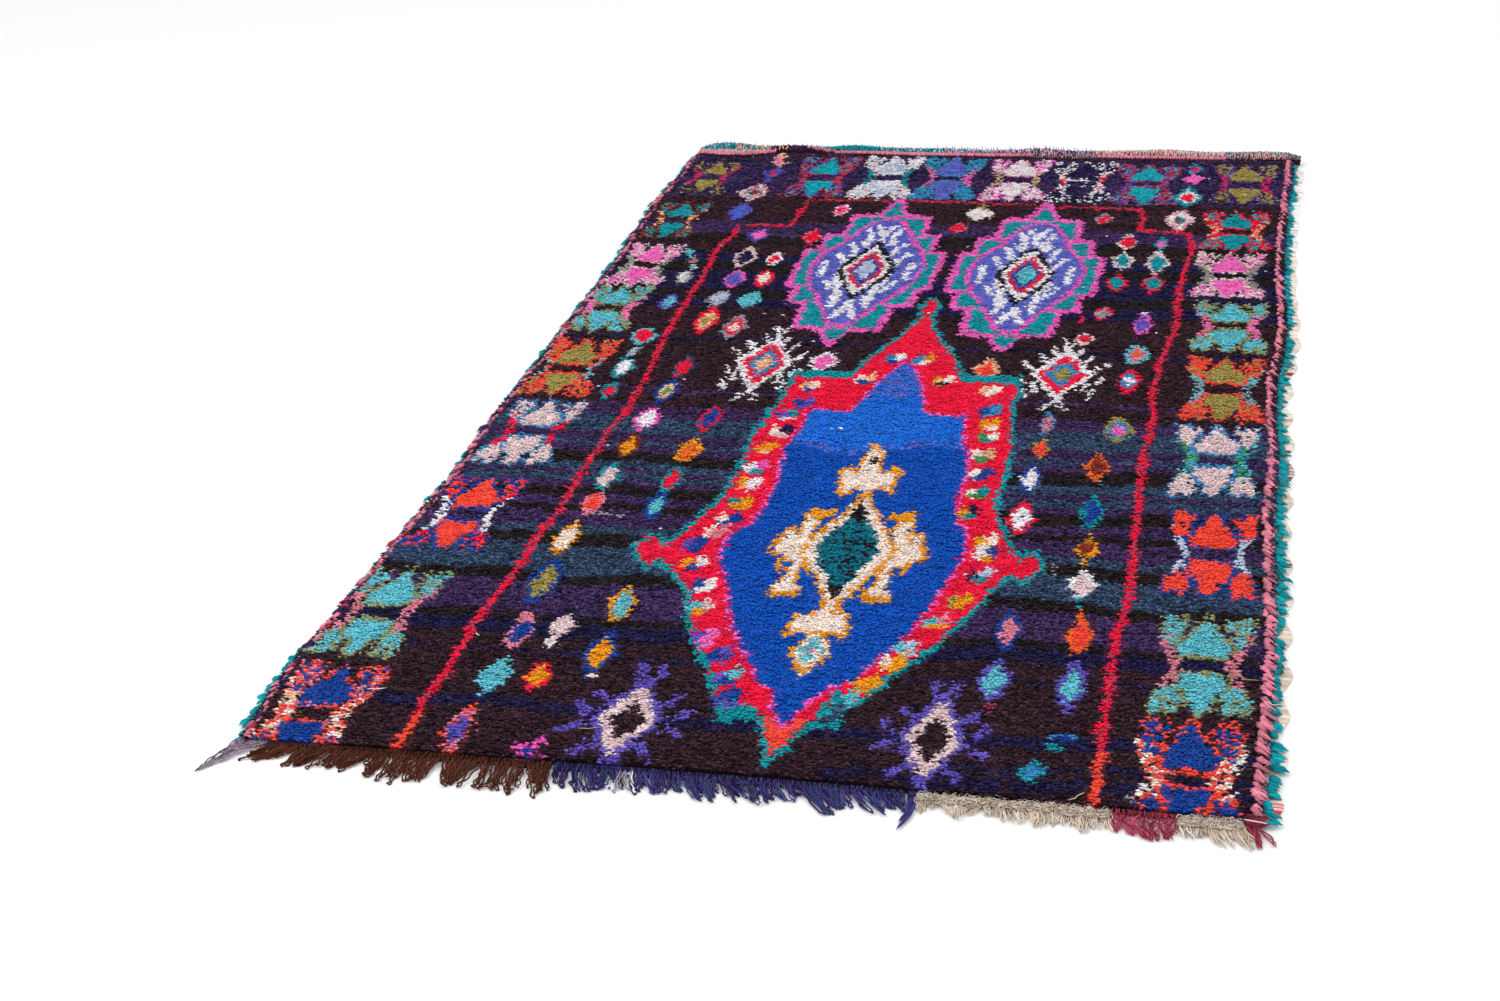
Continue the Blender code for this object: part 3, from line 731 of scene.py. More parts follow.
TOP_FIGURE = (
    (72.2, 89), (71.4, 93), (70.9, 99.6), (71.9, 101), (73, 98.4), (73.8, 98.2), (73.6, 104), (75, 110.4),
    (77, 106.6), (77.7, 98.6), (79, 98.4), (80.2, 101.4), (81.6, 99.4), (80.8, 96), (80.6, 91.4),
    (78.4, 92.8), (77, 90.4), (75, 92.2),
)
FOOT_FIGURE = (
    (73, 39.4), (73.6, 47.8), (75.8, 46.6), (77, 49.6), (77.4, 53), (79.2, 53), (79.4, 48.6), (81.8, 48.4),
    (82.4, 39.6), (80.8, 41.8), (78, 40.6), (75, 41.8),
)
FOOT_RINGS = (
    # v, half across, half along, yarn
    (35.8, 3.3, 6.8, "ochre"), (35.8, 2.6, 5.8, "cream"), (36.2, 1.7, 3.8, "turquoise"),
    (36.4, 0.6, 1.2, "rose"),
)
FOOT_TIP = ((77, 31), (79.4, 31), (78.2, 28))
ARM_PARTS = (
    # yarn, points measured outwards and up from the arm's middle
    ("cream", ((-1.2, 3), (-1.4, 12.6), (1.0, 12.6), (1.2, 3))),
    ("ochre", ((-3.6, 13.2), (-3.4, 15.6), (0.6, 16.4), (1.0, 13.2))),
    ("cream", ((-2.7, 3.6), (2.8, 4.2), (3.4, -1), (1.6, -3.6), (-2.0, -3.2), (-3.3, 0))),
    ("cream", ((2.0, 3), (2.6, 7.8), (3.6, 6.4), (4.4, 2.2), (4.9, -0.6), (3.4, -2.2))),
    ("ochre", ((1.8, -3), (2.7, -3), (2.6, -8.0), (2.0, -8.2))),
    ("cream", ((-1.6, -3), (0.0, -3), (0.2, -12.8), (-1.4, -12.8))),
    ("cream", ((-2.6, -12.0), (-2.8, -14.8), (1.6, -15.0), (1.4, -12.0))),
    ("ochre", ((-3.0, -14.4), (-2.8, -16.4), (1.8, -16.6), (1.8, -14.4))),
)
ARMS = ((69.4, 68.4, -1), (85.6, 68.4, 1))

# The two stepped medallions, as their right halves, measured from the middle
STEPPED = ((57.0, 198.0, "ice"), (91.6, 197.6, "turquoise"))
STEPS = (
    (0, 46.6), (1.2, 42.5), (2.9, 35.2), (8.6, 34.2), (8.9, 22), (12.2, 21.6), (12.5, 11.9), (15.4, 11.6),
    (15.2, -10.8), (13, -11.2), (12.7, -20), (9.5, -20.4), (8.6, -33.8), (2.8, -34.6), (1.0, -39.6),
    (0.2, -42.4),
)
STEP_TIPS = (
    ((0, 41.8), (2.3, 34.8), (0, 34.6)),
    ((0, -35), (2.4, -35), (1.2, -38.6), (0, -40)),
)
STEP_TIES = (
    # v from the middle, and the two u between which the edge and the field's outline are tied together
    (33.4, 0, 8.4), (21.0, 6.8, 11.8), (11.5, 10.2, 15.2), (-10.7, 10.2, 15.0), (-19.6, 7.2, 12.4),
    (-33.5, 0, 8.2),
)
STEP_FIELD = (
    (0, 31.8), (2.5, 31.4), (5.9, 24), (7.6, 17.6), (9.7, 13), (11.4, 8.8), (12.3, 2), (11.8, -4),
    (10.6, -9.5), (9.6, -12), (7.3, -17), (5.8, -21), (2.5, -31), (0, -31.8),
)
COMBS = (
    ((1.9, 27.5), (0.2, 22)), ((0, 22.6), (0, 18)), ((3.6, 25), (2.3, 20.2), (2.4, 16)),
    ((3.8, 17.8), (2.6, 15)), ((6.0, 16), (4.7, 12.6), (4.4, 8.6)), ((7.7, 9.8), (6.1, 6), (5.4, 3.4)),
    ((9.7, 4.6), (9.3, -4.8)), ((5.7, -3.2), (4.9, -8.4)), ((7.2, -7.4), (5.6, -12.4)),
    ((4.2, -8.6), (3.6, -13)), ((3.7, -12.6), (4.0, -17)), ((2.6, -15.4), (4.0, -22)),
    ((0, -17.6), (0, -21)), ((0.2, -20.8), (2.1, -27.4)),
)
STEP_RINGS = (
    (6.4, 17.8, "black"), (5.2, 14.8, "white"), (4.1, 11.6, "garnet red"), (3.0, 8.6, "royal periwinkle"),
)

SPIDERS = (
    # u, v, half across, half along, spikes, yarns from the outline inwards
    (46.2, 145.4, 5.4, 13.6, "white", "white red sky peach"),
    (104.9, 145.4, 5.8, 12.6, "white", "white red sky olive"),
    (55.4, 13.2, 4.4, 9.6, "violet", "blush brown"),
    (100.2, 14.4, 3.8, 10.4, "violet", "blush brown"),
)
SPIKES = (
    # right half, measured from the middle, for a diamond that is 5.5 by 13.5
    ((1.4, 18.4), (0, 13)), ((5.0, 10.4), (3.2, 6)), ((7.6, 6.0), (5.2, 1.6)), ((7.4, -2), (6.0, -5.6)),
    ((4.8, -5), (4.2, -9)), ((6.0, -8.2), (5.6, -12.4)), ((2.2, -18), (0, -13)), ((2.6, 13.4), (1.8, 9.8)),
)
NEAR_SPIKES = (
    ((1.6, 15.4), (1.1, 12.6), (0.4, 9.0)), ((5.4, 7.0), (3.4, 4.8)), ((7.2, 3.6), (6.2, 1.6)),
    ((7.6, -3.6), (5.4, -1.8)), ((4.6, -9.4), (2.8, -6.8)), ((0.3, -9.4), (0, -13.6)),
)


class Chart:
    """Which yarn each knot is tied in. The shapes are laid over one another, the last on top."""

    names = tuple(RugYarns.__annotations__)
    clump = (1.25, 0.75)  # across and along: the knots in it take the same yarn of a mix
    strays = 0.3  # the share of the knots that don't

    def __init__(self, u, v, rng):
        self.u, self.v, self.rng = u, v, rng
        self.yarn = np.zeros(len(u), int)
        row = np.floor(v / self.clump[1]).astype(int)
        place = np.floor(u / self.clump[0] + 0.41 * row).astype(int)
        table = rng.random((np.ptp(row) + 1, np.ptp(place) + 1))
        stray = rng.random(len(u)) < self.strays
        self.draw = np.where(stray, rng.random(len(u)), table[row - row.min(), place - place.min()])

    def lay(self, inside, yarns, share=1.0):
        """Ties the chosen knots in one yarn, or in several mixed at random."""
        chosen = np.flatnonzero(inside)
        if share < 1.0:
            chosen = chosen[self.rng.random(len(chosen)) < share]
        options = np.array([self.names.index(name) for name in yarns.split()])
        self.yarn[chosen] = options[(self.draw[chosen] * len(options)).astype(int)]

    def near(self, low, high):
        """The knots in the box between two corners."""
        return np.flatnonzero((self.u > low[0]) & (self.u < high[0]) & (self.v > low[1]) & (self.v < high[1]))

    def within(self, points):
        """The knots inside a closed outline."""
        outline = np.asarray(points, float)
        some = self.near(outline.min(0), outline.max(0))
        u, v = self.u[some], self.v[some]
        crossed = np.zeros(len(some), bool)
        for (u1, v1), (u2, v2) in zip(outline, np.roll(outline, -1, axis=0)):
            if v1 != v2:
                side = u < (u2 - u1) * (v - v1) / (v2 - v1) + u1
                crossed ^= ((v1 > v) != (v2 > v)) & side
        inside = np.zeros(len(self.u), bool)
        inside[some[crossed]] = True
        return inside

    def beside(self, points, half):
        """The knots within half of a line."""
        line = np.asarray(points, float)
        half = np.broadcast_to(half, len(self.u))
        inside = np.zeros(len(self.u), bool)
        for start, end in zip(line, line[1:]):
            some = self.near(np.minimum(start, end) - half.max(), np.maximum(start, end) + half.max())
            place = np.stack([self.u[some], self.v[some]], -1) - start
            way = end - start
            share = np.clip(place @ way / max(way @ way, 1e-9), 0, 1)
            away = np.linalg.norm(place - share[:, None] * way, axis=1)
            inside[some[away < half[some]]] = True
        return inside

    def fill(self, points, yarns, share=1.0):
        self.lay(self.within(points), yarns, share)

    def line(self, points, half, yarns, share=1.0):
        self.lay(self.beside(points, half), yarns, share)

    def edge(self, points, half, yarns, share=1.0):
        self.line([*points, points[0]], half, yarns, share)

    def lozenge(self, u, v, across, along, yarns, share=1.0, roundness=1.25):
        away = (np.abs(self.u - u) / across) ** roundness + (np.abs(self.v - v) / along) ** roundness
        self.lay(away < 1, yarns, share)


def moved(points, u, v, across=1.0, along=1.0):
    return [(u + x * across, v + y * along) for x, y in points]


def whole(half):
    """A closed outline from its right half."""
    return [*half, *((-x, y) for x, y in reversed(half))]


def chart_ground(chart):
    """The bands of the ground, which waver across the rug."""
    wave = 0.9 * np.sin(chart.u / 8.5) + 0.6 * np.sin(chart.u / 3.3 + 1.0) + 0.03 * (chart.u - 74)
    level = chart.v + wave * np.sin(chart.v / 13.0 + chart.u / 40.0)
    for start, name in GROUND:
        chart.lay(level >= start, name)
    for low, high, first in NEAR_BANDS:
        chart.lay((level > low) & (level < high) & (chart.u > first), "navy", 0.85)


def chart_border(chart):
    near, far, narrow_from = BORDER_HALF
    line = chart.beside(BORDER, near + (far - near) * np.clip(chart.v / narrow_from, 0, 1))
    chart.lay(line, "red red garnet")
    for top, low, high in NEAR_STRETCH:
        chart.lay(line & (chart.v < top) & (chart.u > low) & (chart.u < high), "orange")
    chart.lay(line & (chart.v > WORN_FROM), "garnet red rust garnet")


def chart_motif(chart, u, v, wide, up, down, thick, yarns):
    """One side motif: two halves about a dark middle, each a body between arms, and crossing diagonals."""

    def at(points, side=1):
        return [(u + x * side * wide, v + y * (up if y > 0 else down) / MOTIF_REACH) for x, y in points]

    body, arms, edge, diagonal = yarns.split("/")
    limbs = [at(shape, side) for shape in (MOTIF_ARM, MOTIF_LEG) for side in (-1, 1)]
    bodies = [at(MOTIF_BODY), at(MOTIF_BELLY)]
    for shape in limbs:
        chart.edge(shape, 0.5, edge, 0.6)
    for side in (-1, 1):
        chart.line(at(MOTIF_DIAGONAL, side), thick, diagonal, 0.9)
    for level in (2.5, -2.1):
        chart.line(at(((-3.4, level), (3.2, level))), 0.6, edge, 0.9)
    for shape in limbs:
        chart.fill(shape, arms, 0.92)
    for shape in bodies:
        chart.edge(shape, 0.7, edge, 0.75)
    for shape in bodies:
        chart.fill(shape, body)


def chart_lozenges(chart):
    for u, v, across, along, yarns in LOZENGES:
        for shrink, name in zip((1.0, 0.70, 0.40), yarns.split()):
            chart.lozenge(u, v, across * shrink, along * shrink, name.replace("+", " "))
    for points, half, name in SLANTS:
        chart.line(points, half, name)


def chart_spider(chart, u, v, across, along, spikes, yarns):
    """A diamond in rings, with spikes that stand off all round it."""
    layers = yarns.split()
    wide, tall, shapes, half, rings = across / 5.5, along / 13.5, SPIKES, 0.48, (1.0, 0.78, 0.54, 0.32)
    if spikes != layers[0]:
        chart.lozenge(u, v, across + 1.2, along + 2.4, spikes, 0.9, 1.1)
        wide, tall, shapes, half, rings = across / 3.8, 1.0, NEAR_SPIKES, 0.85, (1.0, 0.60)
    for side in (-1, 1):
        for spike in shapes:
            chart.line(moved(spike, u, v, side * wide, tall), half, spikes, 0.85)
    for shrink, name in zip(rings, layers):
        chart.lozenge(u, v, across * shrink, along * shrink, name, 1.0, 1.1)


def chart_medallion(chart):
    """The large medallion: teal outline, red band with flecks, magenta edge and blue field."""
    for shoulder in SHOULDERS:
        chart.fill(shoulder, "teal")
    chart.fill(BAND, "red")
    chart.edge(BAND, 0.55, "teal", 0.95)
    chart.fill(BAND_TIP, "orange")
    chart.lozenge(78.3, 5.2, 1.0, 1.4, "teal")
    chart.edge(FIELD, 0.72, "magenta berry hotpink", 0.95)
    field = chart.within(FIELD)
    chart.lay(field, "field")
    streak = chart.v + 2.5 * np.sin(chart.u / 5.0)
    chart.lay(field & (streak > BRIGHT_FROM), "bright")
    chart.lay(field & (np.abs(streak - BRIGHT_FROM) < 1.2), "bright field periwinkle")
    chart.lay(field & (streak > PERIWINKLE_FROM), "periwinkle bright")
    for u, v, yarns in FLECKS:
        names = yarns.split()
        for side, name in ((-0.95, names[0]), (0.95, names[1 % len(names)])):
            chart.lozenge(u + side, v + 0.5 * side, 1.25, 2.5, name)
        chart.lozenge(u + 0.2, v - 1.9, 1.5, 1.2, names[-1])


def chart_core(chart):
    """The figures in the middle of the blue field, cream with an ochre edge."""
    for u, v, side in ARMS:
        for name, points in ARM_PARTS:
            if name == "cream":
                chart.edge(moved(points, u, v, side), 0.5, "ochre", 0.9)
    for u, v, side in ARMS:
        for name, points in ARM_PARTS:
            chart.fill(moved(points, u, v, side * (0.84 if name == "cream" else 1.0), 0.97), name)
    for figure in (CORE_FRAME, TOP_FIGURE, FOOT_FIGURE):
        chart.fill(figure, "cream")
        chart.edge(figure, 0.42, "ochre", 0.9)
    chart.fill(CORE, "pine pine pine black")
    for tip in CORE_TIPS:
        chart.fill(tip, "black")
    for points, half in CORE_CROSS:
        chart.line(points, half, "black")
    for v, across, along, name in FOOT_RINGS:
        chart.lozenge(78.0, v, across, along, name)
    chart.fill(FOOT_TIP, "ochre cream")


def chart_stepped(chart, u, v, core):
    """A stepped medallion: teal between its stepped edge and its field, and combs round a ringed diamond."""
    steps, field = moved(whole(STEPS), u, v), moved(whole(STEP_FIELD), u, v)
    chart.fill(steps, "teal")
    chart.fill(field, "periwinkle")
    chart.edge(steps, 0.72, "magenta magenta hotpink")
    chart.edge(field, 0.54, "magenta")
    for level, inner, outer in STEP_TIES:
        for side in (-1, 1):
            tie = moved(((inner, level), (outer, level)), u, v, side)
            chart.line(tie, 0.66, "magenta hotpink")
    for side in (-1, 1):
        for tip in STEP_TIPS:
            chart.fill(moved(tip, u, v, side), "teal")
        for comb in COMBS:
            chart.line(moved(comb, u, v, side), 0.74, "white", 0.97)
    for across, along, name in STEP_RINGS:
        chart.lozenge(u, v, across, along, name, 1.0, 1.1)
    chart.lozenge(u, v, 2.0, 6.0, core, 1.0, 1.2)


# How far each small tuft of knots strays from its place on the chart, so that no outline is quite smooth
RAGGED = np.clip(np.random.default_rng(SEED + 20).normal(0.0, 1.0, (331, 331, 2)), -1.8, 1.8)


def charted(u, v, rng, loose=0.13):
    """Chart places of knots at (u, v) metres. It is drawn as if the tips lay on the floor, so they shift."""
    row = np.floor(v / 0.0085).astype(int)
    column = np.floor(u / 0.0105 + 0.4 * np.sin(v * 240)).astype(int)
    tuft = RAGGED[row % len(RAGGED), column % len(RAGGED)]
    across = 100 * u - 0.27 + 0.166 * u + 0.25 * tuft[..., 0]
    along = 100 * v + 0.47 + 0.243 * v + 0.38 * tuft[..., 1]
    return across + rng.normal(0, loose, u.shape), along + rng.normal(0, loose * 1.3, u.shape)


def chart_all(u, v, rng):
    """The number of each knot's yarn on the shade card, from the whole chart."""
    chart = Chart(u, v, rng)
    chart_ground(chart)
    for row in SIDE_MOTIFS + TOP_MOTIFS:
        chart_motif(chart, *row)
    chart_border(chart)
    chart_lozenges(chart)
    for row in SPIDERS:
        chart_spider(chart, *row)
    for row in STEPPED:
        chart_stepped(chart, *row)
    chart_medallion(chart)
    chart_core(chart)
    chart.lay((chart.v > 60) & (chart.rng.random(len(u)) < 0.0005), "white grey ice")
    return chart.yarn


# Operators


class RugOperator:
    """What the operators share: the shade card, the sizes and random draws of their own."""

    bl_options = {"REGISTER", "UNDO"}
    seed = 0

    def execute(self, context):
        self.rng = np.random.default_rng(SEED + self.seed)
        self.sizes = context.scene.rug_sizes
        self.make(context)
        return {"FINISHED"}

    def shade(self, name):
        return np.array(getattr(bpy.context.scene.rug_yarns, name))

    def shades(self, names):
        return np.array([self.shade(name) for name in names.split()])

    def about(self, spread, count=None):
        """Random numbers spread about nought."""
        return self.rng.normal(0, spread, count)

    def varied(self, spread, low, high, count=None, middle=1.0):
        """Random factors about the middle, none of them past low or high."""
        return np.clip(self.rng.normal(middle, spread, count), low, high)


class RUG_OT_stage(RugOperator, bpy.types.Operator):
    """Sets up the camera, the pale floor and the soft light"""

    bl_idname = "rug.stage"
    bl_label = "Stage"

    lights = (
        # name, place, size, power
        ("key_light", (-2.6, -2.2, 3.6), 2.5, 60.0),
        ("fill_light", (3.2, 1.5, 3.4), 2.5, 25.0),
    )
    # The photograph's own viewpoint, with the lens in millimetres
    camera_at = (0.7283, -3.8985, 1.7427)
    camera_right = (0.97285, 0.22470, -0.05551)
    camera_ahead = (-0.22564, 0.86733, -0.44364)
    camera_lens, camera_sensor = 53.95, 36.0

    def make(self, context):
        scene = context.scene
        scene.view_settings.view_transform = "Standard"
        self.add_camera(scene)
        bpy.ops.mesh.primitive_plane_add(size=60.0, location=(0.0, 0.0, -0.0005))
        floor = context.object
        floor.name = "studio_floor"
        paint = {"Base Color": (0.90, 0.90, 0.90, 1.0), "Roughness": 0.9}
        floor.data.materials.append(material("pale_floor", (), shader=("BsdfPrincipled", paint)))
        scene.world = bpy.data.worlds.new("studio")
        scene.world.use_nodes = True
        background = scene.world.node_tree.nodes["Background"]
        background.inputs["Color"].default_value = (1.0, 1.0, 1.0, 1.0)
        background.inputs["Strength"].default_value = 1.0
        for name, place, size, power in self.lights:
            bpy.ops.object.light_add(type="AREA", location=place)
            light = context.object
            light.name = name
            light.data.size = size
            light.data.energy = power
            light.rotation_euler = (-Vector(place)).to_track_quat("-Z", "Y").to_euler()

    def add_camera(self, scene):
        ahead = Vector(self.camera_ahead).normalized()
        right = Vector(self.camera_right)
        right = (right - right.dot(ahead) * ahead).normalized()
        lens = bpy.data.cameras.new("camera")
        lens.lens, lens.sensor_width = self.camera_lens, self.camera_sensor
        camera = bpy.data.objects.new("camera", lens)
        turned = Matrix((right, right.cross(ahead), -ahead)).transposed().to_4x4()
        camera.matrix_world = Matrix.Translation(self.camera_at) @ turned
        scene.collection.objects.link(camera)
        scene.camera = camera


class RUG_OT_ground_cloth(RugOperator, bpy.types.Operator):
    """Weaves the cloth that the knots are tied on, and packs the roots of the wool over it"""

    bl_idname = "rug.ground_cloth"
    bl_label = "Ground cloth"
    seed = 9

    def make(self, context):
        cloth = self.sizes.cloth
        u, v = self.grid(100, 186, 0.004)
        weave = ground_weave(self.shade("lilac") * 0.35)
        self.layer("ground_cloth", u, v, 0.0004 + 0 * u, 0.0004 + cloth, 0.85, False, weave)
        u, v = self.grid(108, 204, 0.009)
        top = height_over(solid("rug_pile"), u.ravel(), v.ravel()).reshape(u.shape) - self.sizes.bed
        finish = wool("packed_wool")
        # The packed wool takes the yarns' colours at 0.9: painted shade between the yarn ends
        self.layer("packed_wool", u, v, np.maximum(top, 0.005), 0.0006 + cloth, 0.9, True, finish)

    @staticmethod
    def grid(columns, rows, inset):
        """Places all over the cloth, in rows from its fringed edge."""
        along = np.linspace(0.0, 1.0, rows + 1)[:, None]
        v = PILE_LENGTH * along + np.zeros(columns + 1)
        u = left_u(v) + inset + (right_u(v) - left_u(v) - 2 * inset) * np.linspace(0.0, 1.0, columns + 1)
        return u, v + (near_v(u) + inset) * (1 - along) - inset * along

    def layer(self, name, u, v, worked, plain, share, upwards, finish):
        """A closed layer of the rug: one side worked in the pattern's yarns, the other flat and plain."""
        index = np.arange(u.size).reshape(u.shape)
        faces = np.stack([index[:-1, :-1], index[:-1, 1:], index[1:, 1:], index[1:, :-1]], -1).reshape(-1, 4)
        rim = np.concatenate([index[0], index[1:, -1], index[-1, -2::-1], index[-2:0:-1, 0]])
        flat = u.size + np.arange(len(rim))
        walls = np.stack([flat, np.roll(flat, -1), np.roll(rim, -1), rim], -1)
        around = [*faces.tolist(), *walls.tolist(), flat[::-1].tolist()]
        if not upwards:
            around = [face[::-1] for face in around]
        u, v = u.ravel(), v.ravel()
        points = np.concatenate([placed(u, v, worked.ravel()), placed(u[rim], v[rim], plain)])
        mesh = bpy.data.meshes.new(name)
        mesh.from_pydata(points.tolist(), [], around)
        kind = chart_all(*charted(u, v, self.rng, 0.0), self.rng)
        # share darkens the yarns' colours: to 0.9 on the packed wool as painted shade, and to 0.85 on the
        # knot backs under the cloth
        backs = self.shades(" ".join(Chart.names))[kind] * share
        dressed(mesh, np.concatenate([backs, backs[rim]]), finish, "pile", "rug_pile")


class RUG_OT_pile(RugOperator, bpy.types.Operator):
    """Ties the knots row by row, each in its yarn from the chart"""

    bl_idname = "rug.pile"
    bl_label = "Pile"

    strips = 5
    ruffled = "brown black navy purple slate"  # the yarns whose strands differ most
    leaning_edge = 0.12  # how far in from each side the yarn ends lean out over it

    def make(self, context):
        u, v, row = self.knots()
        top = height_over(solid("rug_pile"), u, v)
        kind = chart_all(*charted(u, v, self.rng), self.rng)
        clump = self.clumps(u, v)
        colours = self.dyed(kind, u, row, clump)
        lines, radii = self.ends(u, v, top, clump)
        finish = wool("pile_wool")
        strip = np.clip((u / PILE_WIDTH * self.strips).astype(int), 0, self.strips - 1)
        spin = self.rng.uniform(0, 2 * np.pi, len(u))
        for i in range(self.strips):
            some = strip == i
            skein = Skein()
            # The ends darken to 0.8 at their roots and lighten to 1.05 at their tips: painted shade down
            # between them and painted light on top
            skein.add(lines[some], radii[some], colours[some], 3, (0.8, 0.98, 1.05), 0.5, spin[some])
            skein.piece(f"pile_strip_{i + 1}", finish, "pile", "rug_pile")

    def knots(self):
        """The knots' places, in staggered rows inside the cloth's outline, and each one's row."""
        pitch = self.sizes.pitch_across
        rows = np.arange(0.0, PILE_LENGTH, self.sizes.pitch_along)
        v, u = np.meshgrid(rows, np.arange(-0.03, PILE_WIDTH + 0.03, pitch), indexing="ij")
        row = np.broadcast_to(np.arange(len(rows))[:, None], u.shape).ravel()
        u = (u + (np.arange(len(rows)) % 2)[:, None] * pitch / 2 + self.about(0.0009, u.shape)).ravel()
        v = (v + self.about(0.0009, v.shape)).ravel()
        inside = (u > left_u(v) + 0.004) & (u < right_u(v) - 0.004)
        inside &= (v > near_v(u) + 0.001) & (v < PILE_LENGTH - 0.002)
        return u[inside], v[inside], row[inside]

    def clumps(self, u, v):
        """Neighbouring yarn ends cling together: five numbers, normal at random, that each clump shares."""
        band = np.floor((v + 0.0016 * np.sin(u * 260)) / 0.0088).astype(int)
        cell = np.floor(u / 0.0135 + 0.37 * band + 0.3 * np.sin(v * 310)).astype(int)
        table = self.about(1.0, (np.ptp(band) + 1, np.ptp(cell) + 1, 5))
        return table[band - band.min(), cell - cell.min()]

    def dyed(self, kind, u, row, clump):
        """Each end's colour: its yarn, lighter or darker by the clump and by the run of yarn along a row."""
        runs = self.about(1.0, (row.max() + 1, 16))
        place = np.clip(u / PILE_WIDTH, 0, 0.999) * 14
        column = place.astype(int)
        share = place - column
        run = runs[row, column] * (1 - share) + runs[row, column + 1] * share
        spread = np.array([0.50 if name in self.ruffled.split() else 0.07 for name in Chart.names])[kind]
        lightness = 1 + 0.05 * run + 0.07 * clump[:, 0] + self.about(1, len(kind)) * spread
        return self.shades(" ".join(Chart.names))[kind] * np.clip(lightness, 0.25, 2.3)[:, None]

    def ends(self, u, v, top, clump):
        """The middle line of each yarn end: it leaves its knot upwards and lies over to one side."""
        count = len(u)
        lay = self.sizes.pile_lay
        from_left, from_right = (
            np.clip(way / self.leaning_edge, 0, 1) for way in (u - left_u(v), right_u(v) - u)
        )
        leaning = 1.4 * (1 - from_right) - 1.4 * (1 - from_left)
        side = np.where(clump[:, 1] + leaning + 0.35 * self.about(1, count) < 0, -1.0, 1.0)
        over_u = side * lay * self.rng.uniform(0.6, 1.2, count)
        over_v = lay * (-0.22 + 0.15 * clump[:, 2] + self.about(0.15, count))
        peak = np.maximum(top + 0.0004 + 0.0006 * clump[:, 3] + self.about(0.0005, count), 0.006)
        foot = np.maximum(peak - self.sizes.pile_rise, 0.0012)
        lines = np.stack([
            placed(u + over_u * share, v + over_v * share, foot + (peak - foot) * level)
            for share, level in ((-0.7, 0.0), (0.0, 0.80), (0.75, 1.0))
        ], 1)
        return lines, self.sizes.end_width * self.rng.uniform(0.85, 1.2, (count, 1))


